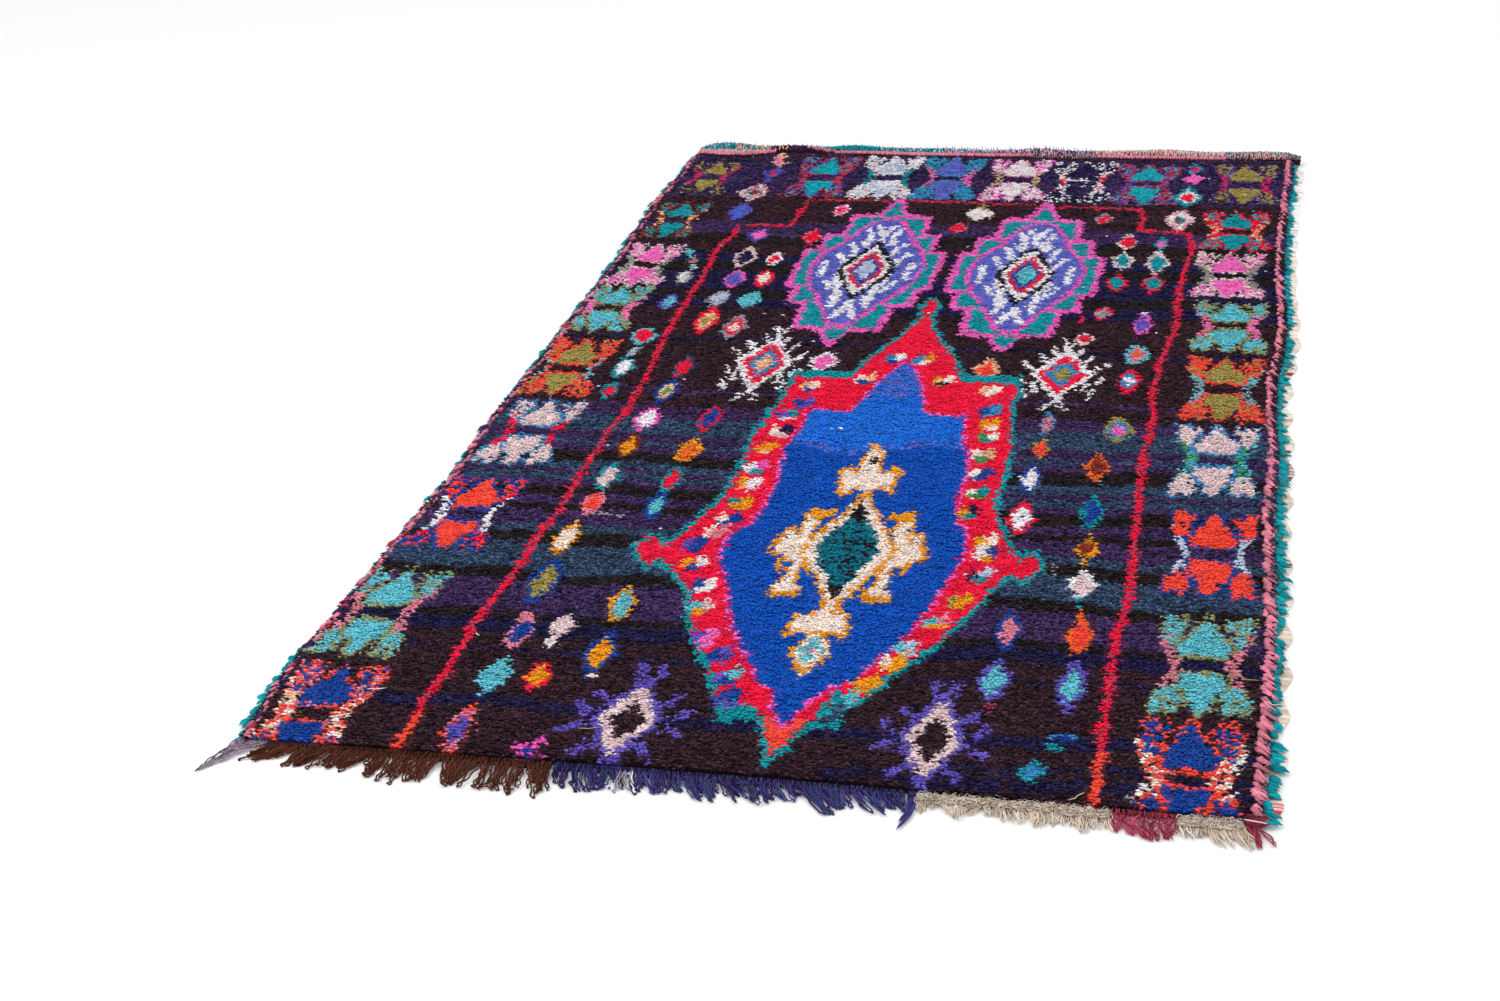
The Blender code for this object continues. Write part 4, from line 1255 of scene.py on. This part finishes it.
class RUG_OT_rims(RugOperator, bpy.types.Operator):
    """Lays the long locks down both sides, rose over teal"""

    bl_idname = "rug.rims"
    bl_label = "Rim locks"
    seed = 1

    ends = 8  # to a lock
    rows = (
        # piece, way out, yarns, pitch, reach, height of the roots and their painted shade, and by v the share
        # of its places that hold a lock, how much longer those are, and where they start from the cloth's
        # edge
        ("rim_left", -1.0, "teal", 0.0140, 0.85, 0.007, 0.5, (
            (0.0, 0.6, 1.1, -0.003), (0.08, 0.95, 1.2, -0.003), (0.24, 0.8, 1.0, -0.003),
            (0.36, 0.35, 0.7, -0.003), (0.62, 0.25, 0.5, -0.003), (0.9, 0.55, 0.8, -0.003),
            (1.2, 0.4, 0.6, -0.003), (1.35, 0.8, 0.8, -0.003), (2.1, 0.85, 0.75, -0.003),
            (2.3, 0.5, 0.7, -0.003), (2.8, 0.7, 0.8, -0.003),
        )),
        ("rim_left", -1.0, "rose rose rose rose purple garnet", 0.0080, 1.10, 0.0165, 0.6, (
            (0.0, 0.7, 0.9, -0.020), (0.3, 0.75, 1.0, -0.020), (0.5, 0.9, 1.0, -0.020),
            (2.8, 0.95, 1.0, -0.020),
        )),
        ("rim_right", 1.0, "teal", 0.0115, 0.95, 0.008, 0.5, (
            (0.0, 0.95, 1.2, 0.000), (0.20, 0.9, 1.1, 0.002), (0.28, 0.8, 0.8, 0.000),
            (0.50, 0.8, 0.8, 0.000), (0.62, 0.9, 1.15, 0.000), (1.0, 0.95, 1.05, -0.003),
            (1.4, 0.95, 1.2, -0.010), (2.1, 1.0, 1.15, -0.011), (2.8, 1.0, 0.95, -0.013),
        )),
        ("rim_right", 1.0, "rose", 0.0080, 1.0, 0.0180, 0.8, (
            (0.0, 0.65, 1.15, -0.016), (0.55, 0.7, 1.1, -0.017), (0.8, 0.95, 1.0, -0.021),
            (1.4, 1.0, 0.9, -0.023), (2.8, 1.0, 0.9, -0.023),
        )),
    )

    def make(self, context):
        finish = wool("rim_wool")
        for name, edge in (("rim_left", left_u), ("rim_right", right_u)):
            skein = Skein()
            for piece, *row in self.rows:
                if piece == name:
                    self.lay_locks(skein, edge, *row)
            skein.piece(name, finish, "pile")

    def lay_locks(self, skein, edge, way, yarns, pitch, size, height, root, shares):
        """A row of locks, each a handful of yarn ends that draw together to a point."""
        rng = self.rng
        v = np.arange(0.018, PILE_LENGTH - 0.006, pitch)
        stops, share, longer, start = np.array(shares).T
        groups = np.interp(v, np.arange(0, 2.9, 0.035), rng.uniform(0, 1, 83))
        v = v[0.6 * groups + 0.4 * rng.uniform(0, 1, len(v)) < np.interp(v, stops, share)]
        count = len(v)
        v = v + self.about(pitch * 0.25, count)
        reach = self.sizes.lock * size * np.interp(v, stops, longer) * rng.uniform(0.6, 1.25, count)
        inset = np.interp(v, stops, start) + self.about(0.0022, count)
        card = self.shades(yarns)[rng.integers(len(yarns.split()), size=count)]
        swing = self.about(0.005, count) - 0.002
        lift = self.about(0.0012, count)
        hue = self.varied(0.17, 0.55, 1.4, (count, 1), 0.95)
        for _ in range(self.ends):
            start_v = v + self.about(pitch * 0.34, count)
            gather = rng.uniform(0.2, 0.8, count)
            own = reach * rng.uniform(0.6, 1.1, count)
            lines = np.empty((count, 4, 3))
            for step, along in enumerate((0.0, 0.3, 0.75, 1.0)):
                at_v = start_v + (v + swing - start_v) * along * gather + self.about(0.0008, count)
                level = height + lift + 0.003 * math.sin(math.pi * along) - (height - 0.003) * along**1.6
                level = np.maximum(level + self.about(0.0006, count), 0.0018)
                lines[:, step] = placed(edge(v) + way * (inset + own * along), at_v, level)
            width = rng.uniform(0.8, 1.2, (count, 1)) * np.array([[0.0024, 0.0019]])
            tint = card * hue * self.varied(0.12, 0.6, 1.4, (count, 1))
            # Each lock is darkened to root at its root and lightened to 1.14 at its tip: painted shade at the
            # root and painted light at the tip
            shades = (root, (1 + root) / 1.8, 1.07, 1.14)
            skein.add(lines, width, tint, shades=shades, spin=rng.uniform(0, 6, count))


class RUG_OT_selvedge(RugOperator, bpy.types.Operator):
    """Weaves the scalloped strip past the right-hand locks"""

    bl_idname = "rug.selvedge"
    bl_label = "Selvedge"
    seed = 2

    weft = 0.0038
    thickness = 0.0022
    # across the strip, from under its inner edge round to the top of it, and height against the thickness
    section = (
        (0.0, 0.1), (0.45, 0.1), (1.0, 0.1), (1.03, 0.55), (0.92, 1.0), (0.6, 1.15), (0.3, 1.1), (0.0, 1.0),
    )
    patches = (
        # from v, to v, yarn, share of the wefts
        (0.0, 0.12, "garnet", 0.5),
        (0.12, 0.56, "oat", 0.5),
        (0.74, 0.84, "rust", 0.45),
        (0.84, 1.02, "oat", 0.5),
        (1.04, 1.18, "rust", 0.4),
        (1.20, 1.34, "moss", 0.35),
        (1.45, 1.62, "oat", 0.4),
        (1.48, 1.54, "rust", 0.5),
        (1.78, 1.86, "rose", 0.35),
        (2.2, 2.8, "white", 0.5),
    )

    def make(self, context):
        low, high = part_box("selvedge_right")
        v = np.arange(low.y - PILE_NEAR + 0.001, high.y - PILE_NEAR - 0.001, self.weft)
        inner = right_u(v) + 0.0005
        swing = np.sin(np.pi * v / SCALLOP_PITCH) ** 2 - 0.5
        calm = np.interp(v, (0, 1.5, 1.9, 2.8), (1.1, 1.0, 0.35, 0.3))
        outer = inner + SELVEDGE_WIDTH - 0.003 + 2 * SELVEDGE_SCALLOP * swing * calm
        outer = outer + self.about(0.0005, len(v))
        rib = np.where(np.arange(len(v)) % 2, 0.0005, -0.0003)
        rings = np.stack([
            placed(
                inner + (outer - inner) * share,
                v,
                self.thickness * level + (rib if level > 0.5 else 0.0) + 0.0004,
            )
            for share, level in self.section
        ], 1)
        tint = np.repeat(self.shade("linen")[None], len(v), 0)
        for start, stop, name, share in self.patches:
            tint[(v > start) & (v < stop) & (self.rng.random(len(v)) < share)] = self.shade(name)
        tint *= self.varied(0.13, 0.6, 1.3, (len(v), 1))
        skein = Skein()
        skein.loft(rings, np.repeat(tint[:, None], len(self.section), 1))
        skein.piece("woven_selvedge", wool("selvedge_wool"), "cotton", "selvedge_right")


class RUG_OT_end_roll(RugOperator, bpy.types.Operator):
    """Rolls up the far end and covers it in its rows of yarn"""

    bl_idname = "rug.end_roll"
    bl_label = "Rolled end"
    seed = 3

    sectors = (
        # up to u, and the yarns at the front, on the top and at the back
        (0.09, "teal teal grey", "teal teal grey", "teal slate"),
        (0.18, "peach grey teal rose", "peach grey rose teal", "teal walnut grey"),
        (0.20, "brown rose purple", "brown purple rust", "brown purple rust"),
        (0.225, "peach brown brown", "brown purple rust", "brown purple rust"),
        (0.27, "brown navy purple", "brown purple", "brown purple rust"),
        (0.46, "rose", "teal", "teal"),
        (0.62, "rose", "teal grey teal ice", "ochre grey lilac teal"),
        (0.74, "rose", "grey teal rose ice", "lilac grey indigo grey"),
        (0.99, "rose grey blush", "ice lilac grey indigo rose", "indigo navy lilac indigo"),
        (1.30, "grey blush rose", "blush oat rose blush oat", "oat blush maroon"),
        (1.43, "rose grey oat", "oat rose grey teal", "teal maroon slate"),
        (9.00, "lilac rose grey", "lilac grey purple", "purple lilac"),
    )
    sags = (
        # from u, to u, how far the rose row hangs down the pile, and the yarns above it
        (-0.040, 0.195, 0.046, "teal grey teal peach"),
        (0.350, 0.840, 0.018, "teal grey"),
        (1.000, 1.300, 0.010, "grey blush"),
    )
    lip = (
        # u, and the turn at which the rose row lies on the roll there; under it the pile's dark wool shows
        (0.0, 4), (0.09, -6), (0.18, 10), (0.20, 40), (0.27, 74), (0.30, 54), (0.33, 32), (0.36, 12),
        (0.66, 8), (0.80, 16), (1.0, 16), (1.3, 26), (1.46, 36),
    )
    below = "brown purple navy"
    stands = ((0.6, 0.006), (0.99, 0.010), (9.0, 0.004))  # up to u, the ends along its back stand so high
    axis_depth, axis_height = 0.017, 0.006  # where the roll turns, from its front and from the floor
    core_turns = (-12, 12, 40, 68, 92, 118, 145, 170, 192)
    row_turns = range(-6, 168, 17)
    hang_pitch = 0.0055  # from one hanging row to the next

    def make(self, context):
        self.low, self.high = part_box("end_roll")
        self.tree = solid("end_roll")
        self.skein = Skein()
        x = np.linspace(self.low.x + 0.003, self.high.x - 0.003, 110)
        core = np.array([[self.skin(px, turn, 0.86) for turn in self.core_turns] for px in x])
        core[:, :, 2] = np.maximum(core[:, :, 2], 0.0006)
        # The core is rust at half brightness: painted shade where it shows between the covering ends
        self.skein.loft(core[:, ::-1], np.tile(self.shade("rust") * 0.5, (*core.shape[:2], 1)))
        self.cover()
        for row in self.sags:
            self.sag(*row)
        self.stand_ends()
        self.skein.piece("rolled_end", wool("roll_wool"), "rose_yarn", "end_roll")

    def skin(self, x, turn, share=1.0):
        """A point of the roll's skin, so many degrees from its front over the top to the back."""
        turn = math.radians(turn)
        y, z = self.low.y + self.axis_depth, self.axis_height
        way = Vector((0.0, -math.cos(turn), math.sin(turn)))
        hit = self.tree.ray_cast(Vector((x, y, z)), way)[3]
        reach = (0.012 if hit is None else hit) * share
        return (x, y + way.y * reach, z + way.z * reach)

    def yarns_at(self, u, part):
        return next(names[part] for stop, *names in self.sectors if u < stop).split()

    def cover(self):
        """Rows of yarn ends that lie over the roll, from its foot at the front to its back."""
        lines, tints = [], []
        left, right = self.low.x + 0.001, self.high.x - 0.001
        for start in self.row_turns:
            for x in np.arange(self.low.x + 0.002, self.high.x - 0.002, 0.0046):
                px = x + self.about(0.0008)
                turn = start + self.about(4)
                lip = np.interp(x - PILE_LEFT, *zip(*self.lip))
                part = 0 if turn < lip + 18 else (1 if turn < 92 else 2)
                yarns = self.below.split() if turn < lip - 14 else self.yarns_at(x - PILE_LEFT, part)
                name = self.rng.choice(yarns)
                sway = self.about(0.0016)
                steps = ((0, 0.84), (0.35, 1.0), (0.75, 1.05), (1.0, 1.0 + self.rng.uniform(0, 0.1)))
                lines.append([
                    self.skin(min(max(px + sway * s, left), right), turn + 26 * s, grow) for s, grow in steps
                ])
                tints.append(self.shade(name) * self.rng.normal(1, 0.12))
        lines = np.array(lines)
        lines[:, :, 2] = np.maximum(lines[:, :, 2], 0.0018)
        tints = np.clip(np.array(tints), 0, 1)
        # The ends run from 0.5 at the root to 1.1 at the tip: painted shade at the root and painted light at
        # the tip
        self.skein.add(lines, (0.0028, 0.0022), tints, shades=(0.5, 0.9, 1.05, 1.1), flat=0.7)

    def sag(self, first, last, depth, yarns):
        """Rows of yarn ends that hang from the roll over the pile, the lowest of them rose."""
        tree = solid("rug_pile")
        u = np.arange(max(first, 0.002), last, 0.0044)
        hang = depth * np.sin(np.pi * (u - first) / (last - first)) ** 0.8
        for row in range(int(depth / self.hang_pitch) + 2):
            down = self.hang_pitch * row
            some = down < hang + self.hang_pitch
            count = some.sum()
            if not count:
                continue
            at_u = u[some] + self.about(0.0007, count)
            at_v = self.low.y - PILE_NEAR - down + self.about(0.0008, count)
            top = height_over(tree, at_u, at_v) + 0.0005
            lines = np.stack([
                placed(at_u + self.about(0.0010, count), at_v + 0.010 - 0.016 * share, top + rise)
                for share, rise in ((0.0, 0.004), (0.35, 0.0055), (0.75, 0.0045), (1.0, 0.0018))
            ], 1)
            names = np.where(down > hang[some] - 0.0105, "rose", self.rng.choice(yarns.split(), count))
            tint = self.shades(" ".join(names)) * self.rng.normal(1, 0.12, (count, 1))
            # Darker at the root, 0.8: painted shade where the ends leave the roll
            shades = (0.8, 1.0, 1.05, 1.0)
            self.skein.add(lines, (0.0030, 0.0026), np.clip(tint, 0, 1), shades=shades, flat=0.7)

    def stand_ends(self):
        """Short ends that stand up along the back of the roll's top."""
        lines, tints = [], []
        for x in np.arange(self.low.x + 0.004, self.high.x - 0.03, 0.0075):
            u = x - PILE_LEFT
            stand = next(height for stop, height in self.stands if u < stop)
            root = Vector(self.skin(x, self.rng.uniform(88, 128), 0.95))
            aside, back = self.about(0.003), self.rng.uniform(0.0, 0.004)
            lean = Vector((aside, back, stand * self.rng.uniform(0.5, 1.2)))
            bent = root + lean * 0.8 + Vector((self.about(0.0008), 0, 0))
            lines.append([root, root + lean * 0.4, bent, root + lean])
            tints.append(self.shade(self.rng.choice(self.yarns_at(u, 2))) * self.rng.normal(0.9, 0.15))
        self.skein.add(np.array(lines), (0.0012, 0.0009), np.clip(np.array(tints), 0, 1))


class RUG_OT_fringe(RugOperator, bpy.types.Operator):
    """Ties the near end's warp ends in their sections"""

    bl_idname = "rug.fringe"
    bl_label = "Fringe"
    seed = 4

    mixes = {
        "fringe_lilac": "lilac grey lilac purple",
        "fringe_brown": "walnut",
        "fringe_indigo": "indigo indigo indigo navy indigo slate purple",
        "tassel_indigo": "indigo",
        "fringe_cream_left": "oat oat linen",
        "fringe_maroon": "maroon",
        "fringe_cream_right": "oat oat linen",
        "tassel_maroon": "maroon",
    }
    flecked = (0.575, 0.603, "grey white navy grey")  # between two u
    falls = {
        # by the share of the section from its left: how much longer, and the further lean to the right
        "fringe_brown": (
            (0.0, 0.8, -0.010), (0.3, 0.85, -0.008), (0.45, 1.2, 0.006), (0.6, 1.2, 0.004),
            (1.0, 1.25, 0.026),
        ),
        "fringe_indigo": ((0.0, 1.1, 0.012), (0.6, 1.05, 0.022), (0.85, 1.1, 0.032), (1.0, 1.1, 0.018)),
        "fringe_cream_left": ((0.0, 1.2, 0.004), (0.5, 1.45, 0.010), (1.0, 1.75, 0.014)),
        "fringe_maroon": ((0.0, 1.35, 0.012), (1.0, 1.45, 0.012)),
        "fringe_cream_right": ((0.0, 1.5, 0.010), (1.0, 1.9, 0.016)),
        "tassel_indigo": ((0.0, 1.5, 0.010), (1.0, 1.5, 0.010)),
        "tassel_maroon": ((0.0, 1.15, -0.006), (1.0, 1.05, 0.016)),
    }
    cords = {"looped": 4, "netted": 2, "tassel": 2, "woolly": 0}  # under the hitches of each knotting

    def make(self, context):
        finish = wool("fringe_yarn")
        low, high, flecks = self.flecked
        for node, slot, knotting, first, last, count, reach, lean in FRINGES:
            self.skein = Skein()
            mix = self.mix = self.shades(self.mixes[node])
            pitch = (last - first) / count
            stops = first + pitch * (np.arange(count) + 0.5)
            tie = getattr(self, "tie_" + knotting)
            share, longer, further = np.array(self.falls.get(node, ((0, 1, 0), (1, 1, 0)))).T
            if self.cords[knotting]:
                self.tie_header(first, last, self.cords[knotting])
            if node == "fringe_lilac":
                self.corner(first, last)
                stops = stops[:0]
            stray = np.interp(stops, np.arange(-0.1, 1.6, 0.021), self.about(1, 81))
            bundle = np.cumsum(self.rng.random(len(stops)) < 0.5)
            for i, u in enumerate(stops):
                at = (u - first) / (last - first)
                drawn = 0.6 * (stops[bundle == bundle[i]].mean() - u)
                drop = reach * np.interp(at, share, longer) * self.rng.uniform(0.85, 1.1)
                drop *= 1 + 0.10 * stray[i]
                drift = lean * self.rng.uniform(0.9, 1.1) + np.interp(at, share, further)
                drift = drift + 0.005 * stray[i] + drawn
                self.mix = self.shades(flecks) if low < u < high else mix
                tie(u, pitch, drop, drift)
            if node == "tassel_maroon":
                self.cuff()
            self.skein.piece(node + "_yarn", finish, slot, node)

    def strand(self, line, thick=1.0, shades=None):
        """One yarn through the given points, (steps, 3)."""
        line = np.array(line)
        steps = len(line)
        radius = self.sizes.cord / 2 * thick
        line[:, 2] = np.maximum(line[:, 2], radius)
        tint = self.mix[self.rng.integers(len(self.mix))] * self.varied(0.18, 0.6, 1.5)
        # By default a yarn starts at 0.7 where it leaves the cloth's edge: painted shade under the edge
        shades = np.array([0.7] + [1.0] * (steps - 1)) if shades is None else shades
        radii, tint = np.full(steps - 2, radius), np.clip(tint, 0, 1)[None]
        self.skein.add(line[None], radii, tint, 3, shades, spin=self.rng.uniform(0, 6))

    def corner(self, first, last):
        """The netted corner: yarns that cross as they draw together into a long tail."""
        rng, share = self.rng, np.linspace(0, 1, 16)
        for i in range(26):
            start = rng.uniform(first, last + 0.006)
            far = rng.uniform(0.94, 1.02) if i < 9 else rng.uniform(0.25, 0.85)
            drawn = share**0.75 * far
            cross = (0.0042 * np.sin(rng.uniform(9, 14) * share + rng.uniform(0, 6))) * (1 - 0.8 * drawn)
            at_u = start + (first + 0.004 + TAIL_LEAN * 0.75 - start) * drawn + cross
            at_v = float(near_v(start)) + 0.003 - (TAIL_LENGTH + 0.012) * share * far + 0.4 * cross
            z = 0.0072 - 0.005 * drawn + self.about(0.0006, 16)
            self.strand(placed(at_u, at_v, z), rng.uniform(0.9, 1.3))

    def tie_header(self, first, last, cords):
        """The row of hitches along the cloth's edge, over the cords that they are tied round."""
        for drop in 0.003 * np.arange(cords) - 0.001:
            u = np.linspace(first, last, max(int((last - first) / 0.007), 6))
            v = near_v(u) - drop + self.about(0.0007, len(u))
            # The cords are their yarn at 0.7 all along: painted shade under the hitches
            self.strand(placed(u, v, 0.0026 + self.about(0.0003, len(u))), 2.1, np.full(len(u), 0.7))
        for u in np.arange(first + 0.002, last - 0.001, 0.0030):
            v = float(near_v(u)) + self.about(0.0008)
            foot = min(max(u + self.rng.normal(0.0005, 0.0032), first + 0.001), last - 0.001)
            at_u = np.array([u, (2 * u + foot) / 3, (u + 2 * foot) / 3, foot])
            at_v = v + np.array([0.005, 0.001, -0.005, -0.008 - self.rng.uniform(0, 0.005)])
            z = np.array([0.006, 0.0076, 0.0062, 0.003]) + self.about(0.0006)
            self.strand(placed(at_u, at_v, z), 1.4)

    def tie_looped(self, u, pitch, drop, drift):
        """Twisted yarns that run out in wavy loops, cross and come back, with a knot here and there."""
        rng = self.rng
        v = float(near_v(u)) - 0.002
        share = np.linspace(0, 1, 22)
        far = np.sin(np.pi * share) ** 0.85
        sides = np.sign(0.5 - share) * np.abs(np.cos(np.pi * share)) ** 0.45
        for _ in range(4):
            out = (drop + 0.004) * rng.uniform(0.5, 1.1)
            wide = rng.uniform(0.0012, 0.0046)
            shift, phase = self.about(pitch * 0.20), rng.uniform(0, 6)
            curl = 0.0021 * np.sin(rng.uniform(24, 38) * share + phase) * far**0.5
            bend = (drift + self.about(0.0048)) * far**1.5 + shift
            z = 0.0066 - 0.0042 * far + 0.0014 * np.sin(9 * share + phase)
            line = placed(u + bend + wide * sides + curl, v - out * far + 0.7 * np.roll(curl, 2), z)
            self.strand(line, rng.uniform(1.3, 1.85))
        if rng.random() < 0.5:
            self.hook(u + drift * 0.9, v - drop * 0.92)
        if rng.random() < 0.3:
            self.knot(u + self.about(0.002), v - rng.uniform(0.002, 0.012))

    def hook(self, u, v):
        """A yarn's kinked end, turned back on itself."""
        turn = np.linspace(0, self.rng.uniform(3.0, 5.0), 7) + self.rng.uniform(0, 6)
        size = self.rng.uniform(0.0022, 0.0038)
        z = 0.003 + 0.0012 * np.cos(turn * 1.3)
        self.strand(placed(u + size * np.cos(turn), v + size * np.sin(turn), z), 1.6)

    def knot(self, u, v):
        """The small hitch that binds a bundle under the edge."""
        for level in (v - 0.001, v - 0.0032):
            at_u = u + np.array([-0.0044, -0.0034, 0.0, 0.0034, 0.0044])
            z = np.array([0.002, 0.005, 0.0086, 0.005, 0.002])
            self.strand(placed(at_u, level + self.about(0.0004, 5), z), 1.7)

    def cuff(self):
        """The woven band that binds the rug's corner above its tassels."""
        edge = near_v(1.44)
        for i in range(8):
            first, last = 1.438 + self.about(0.001), 1.474 + self.about(0.001) - 0.0004 * (i - 3) ** 2
            u = np.linspace(first, last, 9)
            v = edge + 0.006 - 0.0019 * i + 0.0005 * np.sin(u * 700 + 2 * i)
            self.strand(placed(u, v, 0.0140 - 0.0011 * i), 1.7, np.linspace(0.8, 0.95, 9))
        u = np.linspace(1.436, 1.470, 9)
        self.mix = self.shades("blush")
        self.strand(placed(u, edge - 0.002 - 0.16 * (u - 1.436), 0.0118), 1.2, np.ones(9))

    def tie_woolly(self, u, pitch, drop, drift):
        """Unspun wool: loose straight fibres, and curls against the edge over them."""
        rng = self.rng
        v = float(near_v(u))
        drop *= 1 + 0.13 * math.sin(u * 78) + 0.08 * math.sin(u * 190)
        share = np.linspace(0, 1, 7)
        for _ in range(24):
            start = u + rng.uniform(-0.62, 0.62) * pitch
            out = drop * rng.uniform(0.45, 1.1)
            wave = self.about(0.0012, 7) + 0.0018 * np.sin(rng.uniform(4, 9) * share + rng.uniform(0, 6))
            z = 0.0068 - 0.0055 * share**1.4 + self.about(0.0006, 7)
            line = placed(start + drift * share**2 + wave, v + 0.001 - out * share, z)
            # The fibres run from 0.85 at the edge to 1.15 at their tips: painted shade at the edge and
            # painted light at the tips
            self.strand(line, rng.uniform(0.8, 1.5), np.linspace(0.85, 1.15, 7))
        for _ in range(13):
            at, size = u + rng.uniform(-0.5, 0.5) * pitch, rng.uniform(0.0024, 0.0052)
            turn = rng.uniform(0, 6) + np.linspace(0, rng.uniform(4, 7.5), 8)
            middle = v - rng.uniform(-0.002, 0.020)
            z = 0.0076 + 0.0014 * np.sin(turn * 1.7)
            line = placed(at + size * np.cos(turn), middle + size * 1.1 * np.sin(turn), z)
            self.strand(line, 1.2, np.linspace(0.75, 1.0, 8))

    def tie_netted(self, u, pitch, drop, drift):
        """Crossing yarns knotted into a net, with short loops under it."""
        v = float(near_v(u)) - 0.004
        share = np.linspace(0, 1, 9)
        for way in (-1, 1, -1):
            out = drop * self.rng.uniform(0.8, 1.05)
            zigzag = way * pitch * 0.62 * np.cos(np.pi * 2.2 * share + self.about(0.3)) * (1 - 0.3 * share)
            z = 0.0062 - 0.0036 * share + way * 0.0007
            line = placed(u + zigzag + drift * share**1.3, v - out * share, z)
            self.strand(line, 1.7, self.varied(0.4, 0.5, 2.4, 9, 1.15))
        for _ in range(2):
            self.loop(u + self.about(pitch * 0.3), v, drop * self.rng.uniform(0.8, 1.05), drift)

    def loop(self, u, v, drop, drift):
        share = np.linspace(0, 1, 11)
        far = np.sin(np.pi * share)
        side = self.rng.uniform(0.003, 0.0065) * np.cos(np.pi * share)
        at_u = u + side + drift * far**1.3 + self.about(0.0006, 11)
        line = placed(at_u, v - drop * far, 0.0056 - 0.0035 * far)
        self.strand(line, 1.6, self.varied(0.4, 0.5, 2.4, 11, 1.15))

    def tie_tassel(self, u, pitch, drop, drift):
        """A bound bundle that hangs free and twists towards its tip. The last one, at the corner, is thin."""
        v = float(near_v(u)) - 0.004
        share = np.linspace(0, 1, 9)
        for _ in range(4 if u > 1.45 else 15):
            out = drop * self.rng.uniform(0.7, 1.05)
            phase = self.rng.uniform(0, 6)
            twist = 0.0062 * (1 - 0.6 * share) * np.cos(phase + 5 * share) + 0.005 * np.sin(np.pi * share)
            z = 0.0052 - 0.0028 * share + 0.0012 * np.sin(phase + 5 * share)
            self.strand(placed(u + drift * share**1.4 + twist, v - out * share, z), 1.2)
        self.knot(u, v)


class RUG_OT_loose_ends(RugOperator, bpy.types.Operator):
    """Pulls a few pale yarn ends out over the pile"""

    bl_idname = "rug.loose_ends"
    bl_label = "Loose ends"

    ends = (
        # u, v, reach across, reach along, yarn
        (0.140, 0.152, 0.030, 0.012, "white"),
        (0.112, 0.070, 0.034, 0.020, "white"),
        (1.290, 0.262, 0.040, 0.010, "turquoise"),
        (1.400, 0.372, 0.048, -0.014, "olive"),
        (1.205, 0.015, 0.022, 0.018, "oat"),
        (0.492, 0.090, 0.030, 0.010, "grey"),
        (0.250, 0.334, 0.010, -0.004, "white"),
        (0.060, 0.500, 0.030, 0.014, "turquoise"),
        (0.086, 1.238, 0.012, -0.020, "grey"),
        (1.452, 0.300, 0.030, 0.004, "blush"),
    )

    def make(self, context):
        tree = solid("rug_pile")
        skein = Skein()
        share = np.linspace(0, 1, 12)
        for u, v, across, along, name in self.ends:
            curl = 0.12 * np.hypot(across, along)
            at_u = u + across * share + curl * np.sin(6.5 * share)
            at_v = v + along * share + curl * np.cos(5.0 * share) - curl
            z = height_over(tree, at_u, at_v) + 0.0022 + 0.002 * np.sin(np.pi * share)
            line, tint = placed(at_u, at_v, z)[None], self.shade(name)[None]
            skein.add(line, np.full(10, 0.0007), tint, 5, np.ones(12))
        skein.piece("loose_ends", wool("loose_yarn"), "pile")


class RUG_OT_declare_cloth(RugOperator, bpy.types.Operator):
    """An empty step that makes nothing."""

    bl_idname = "rug.declare_cloth"
    bl_label = "Flat size"

    def make(self, context):
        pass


OPERATORS = (
    # in the order in which the rug is made
    RUG_OT_stage, RUG_OT_ground_cloth, RUG_OT_pile, RUG_OT_rims, RUG_OT_selvedge, RUG_OT_end_roll,
    RUG_OT_fringe, RUG_OT_loose_ends, RUG_OT_declare_cloth,
)


class RUG_PT_rug(bpy.types.Panel):
    """Lists the rug's steps, sizes and yarns"""

    bl_idname = "RUG_PT_rug"
    bl_label = "Boucherouite rug"
    bl_space_type = "VIEW_3D"
    bl_region_type = "UI"
    bl_category = "Rug"

    def draw(self, context):
        for operator in OPERATORS:
            self.layout.operator(operator.bl_idname)
        for group in (context.scene.rug_sizes, context.scene.rug_yarns):
            column = self.layout.column(align=True)
            for name in group.__annotations__:
                column.prop(group, name)


CLASSES = (RugYarns, RugSizes, *OPERATORS, RUG_PT_rug)


def register():
    for each in CLASSES:
        bpy.utils.register_class(each)
    bpy.types.Scene.rug_yarns = bpy.props.PointerProperty(type=RugYarns)
    bpy.types.Scene.rug_sizes = bpy.props.PointerProperty(type=RugSizes)


def unregister():
    del bpy.types.Scene.rug_sizes
    del bpy.types.Scene.rug_yarns
    for each in reversed(CLASSES):
        bpy.utils.unregister_class(each)


def main():
    register()
    for operator in OPERATORS:
        getattr(bpy.ops.rug, operator.bl_idname.split(".")[1])()


if __name__ == "__main__":
    main()
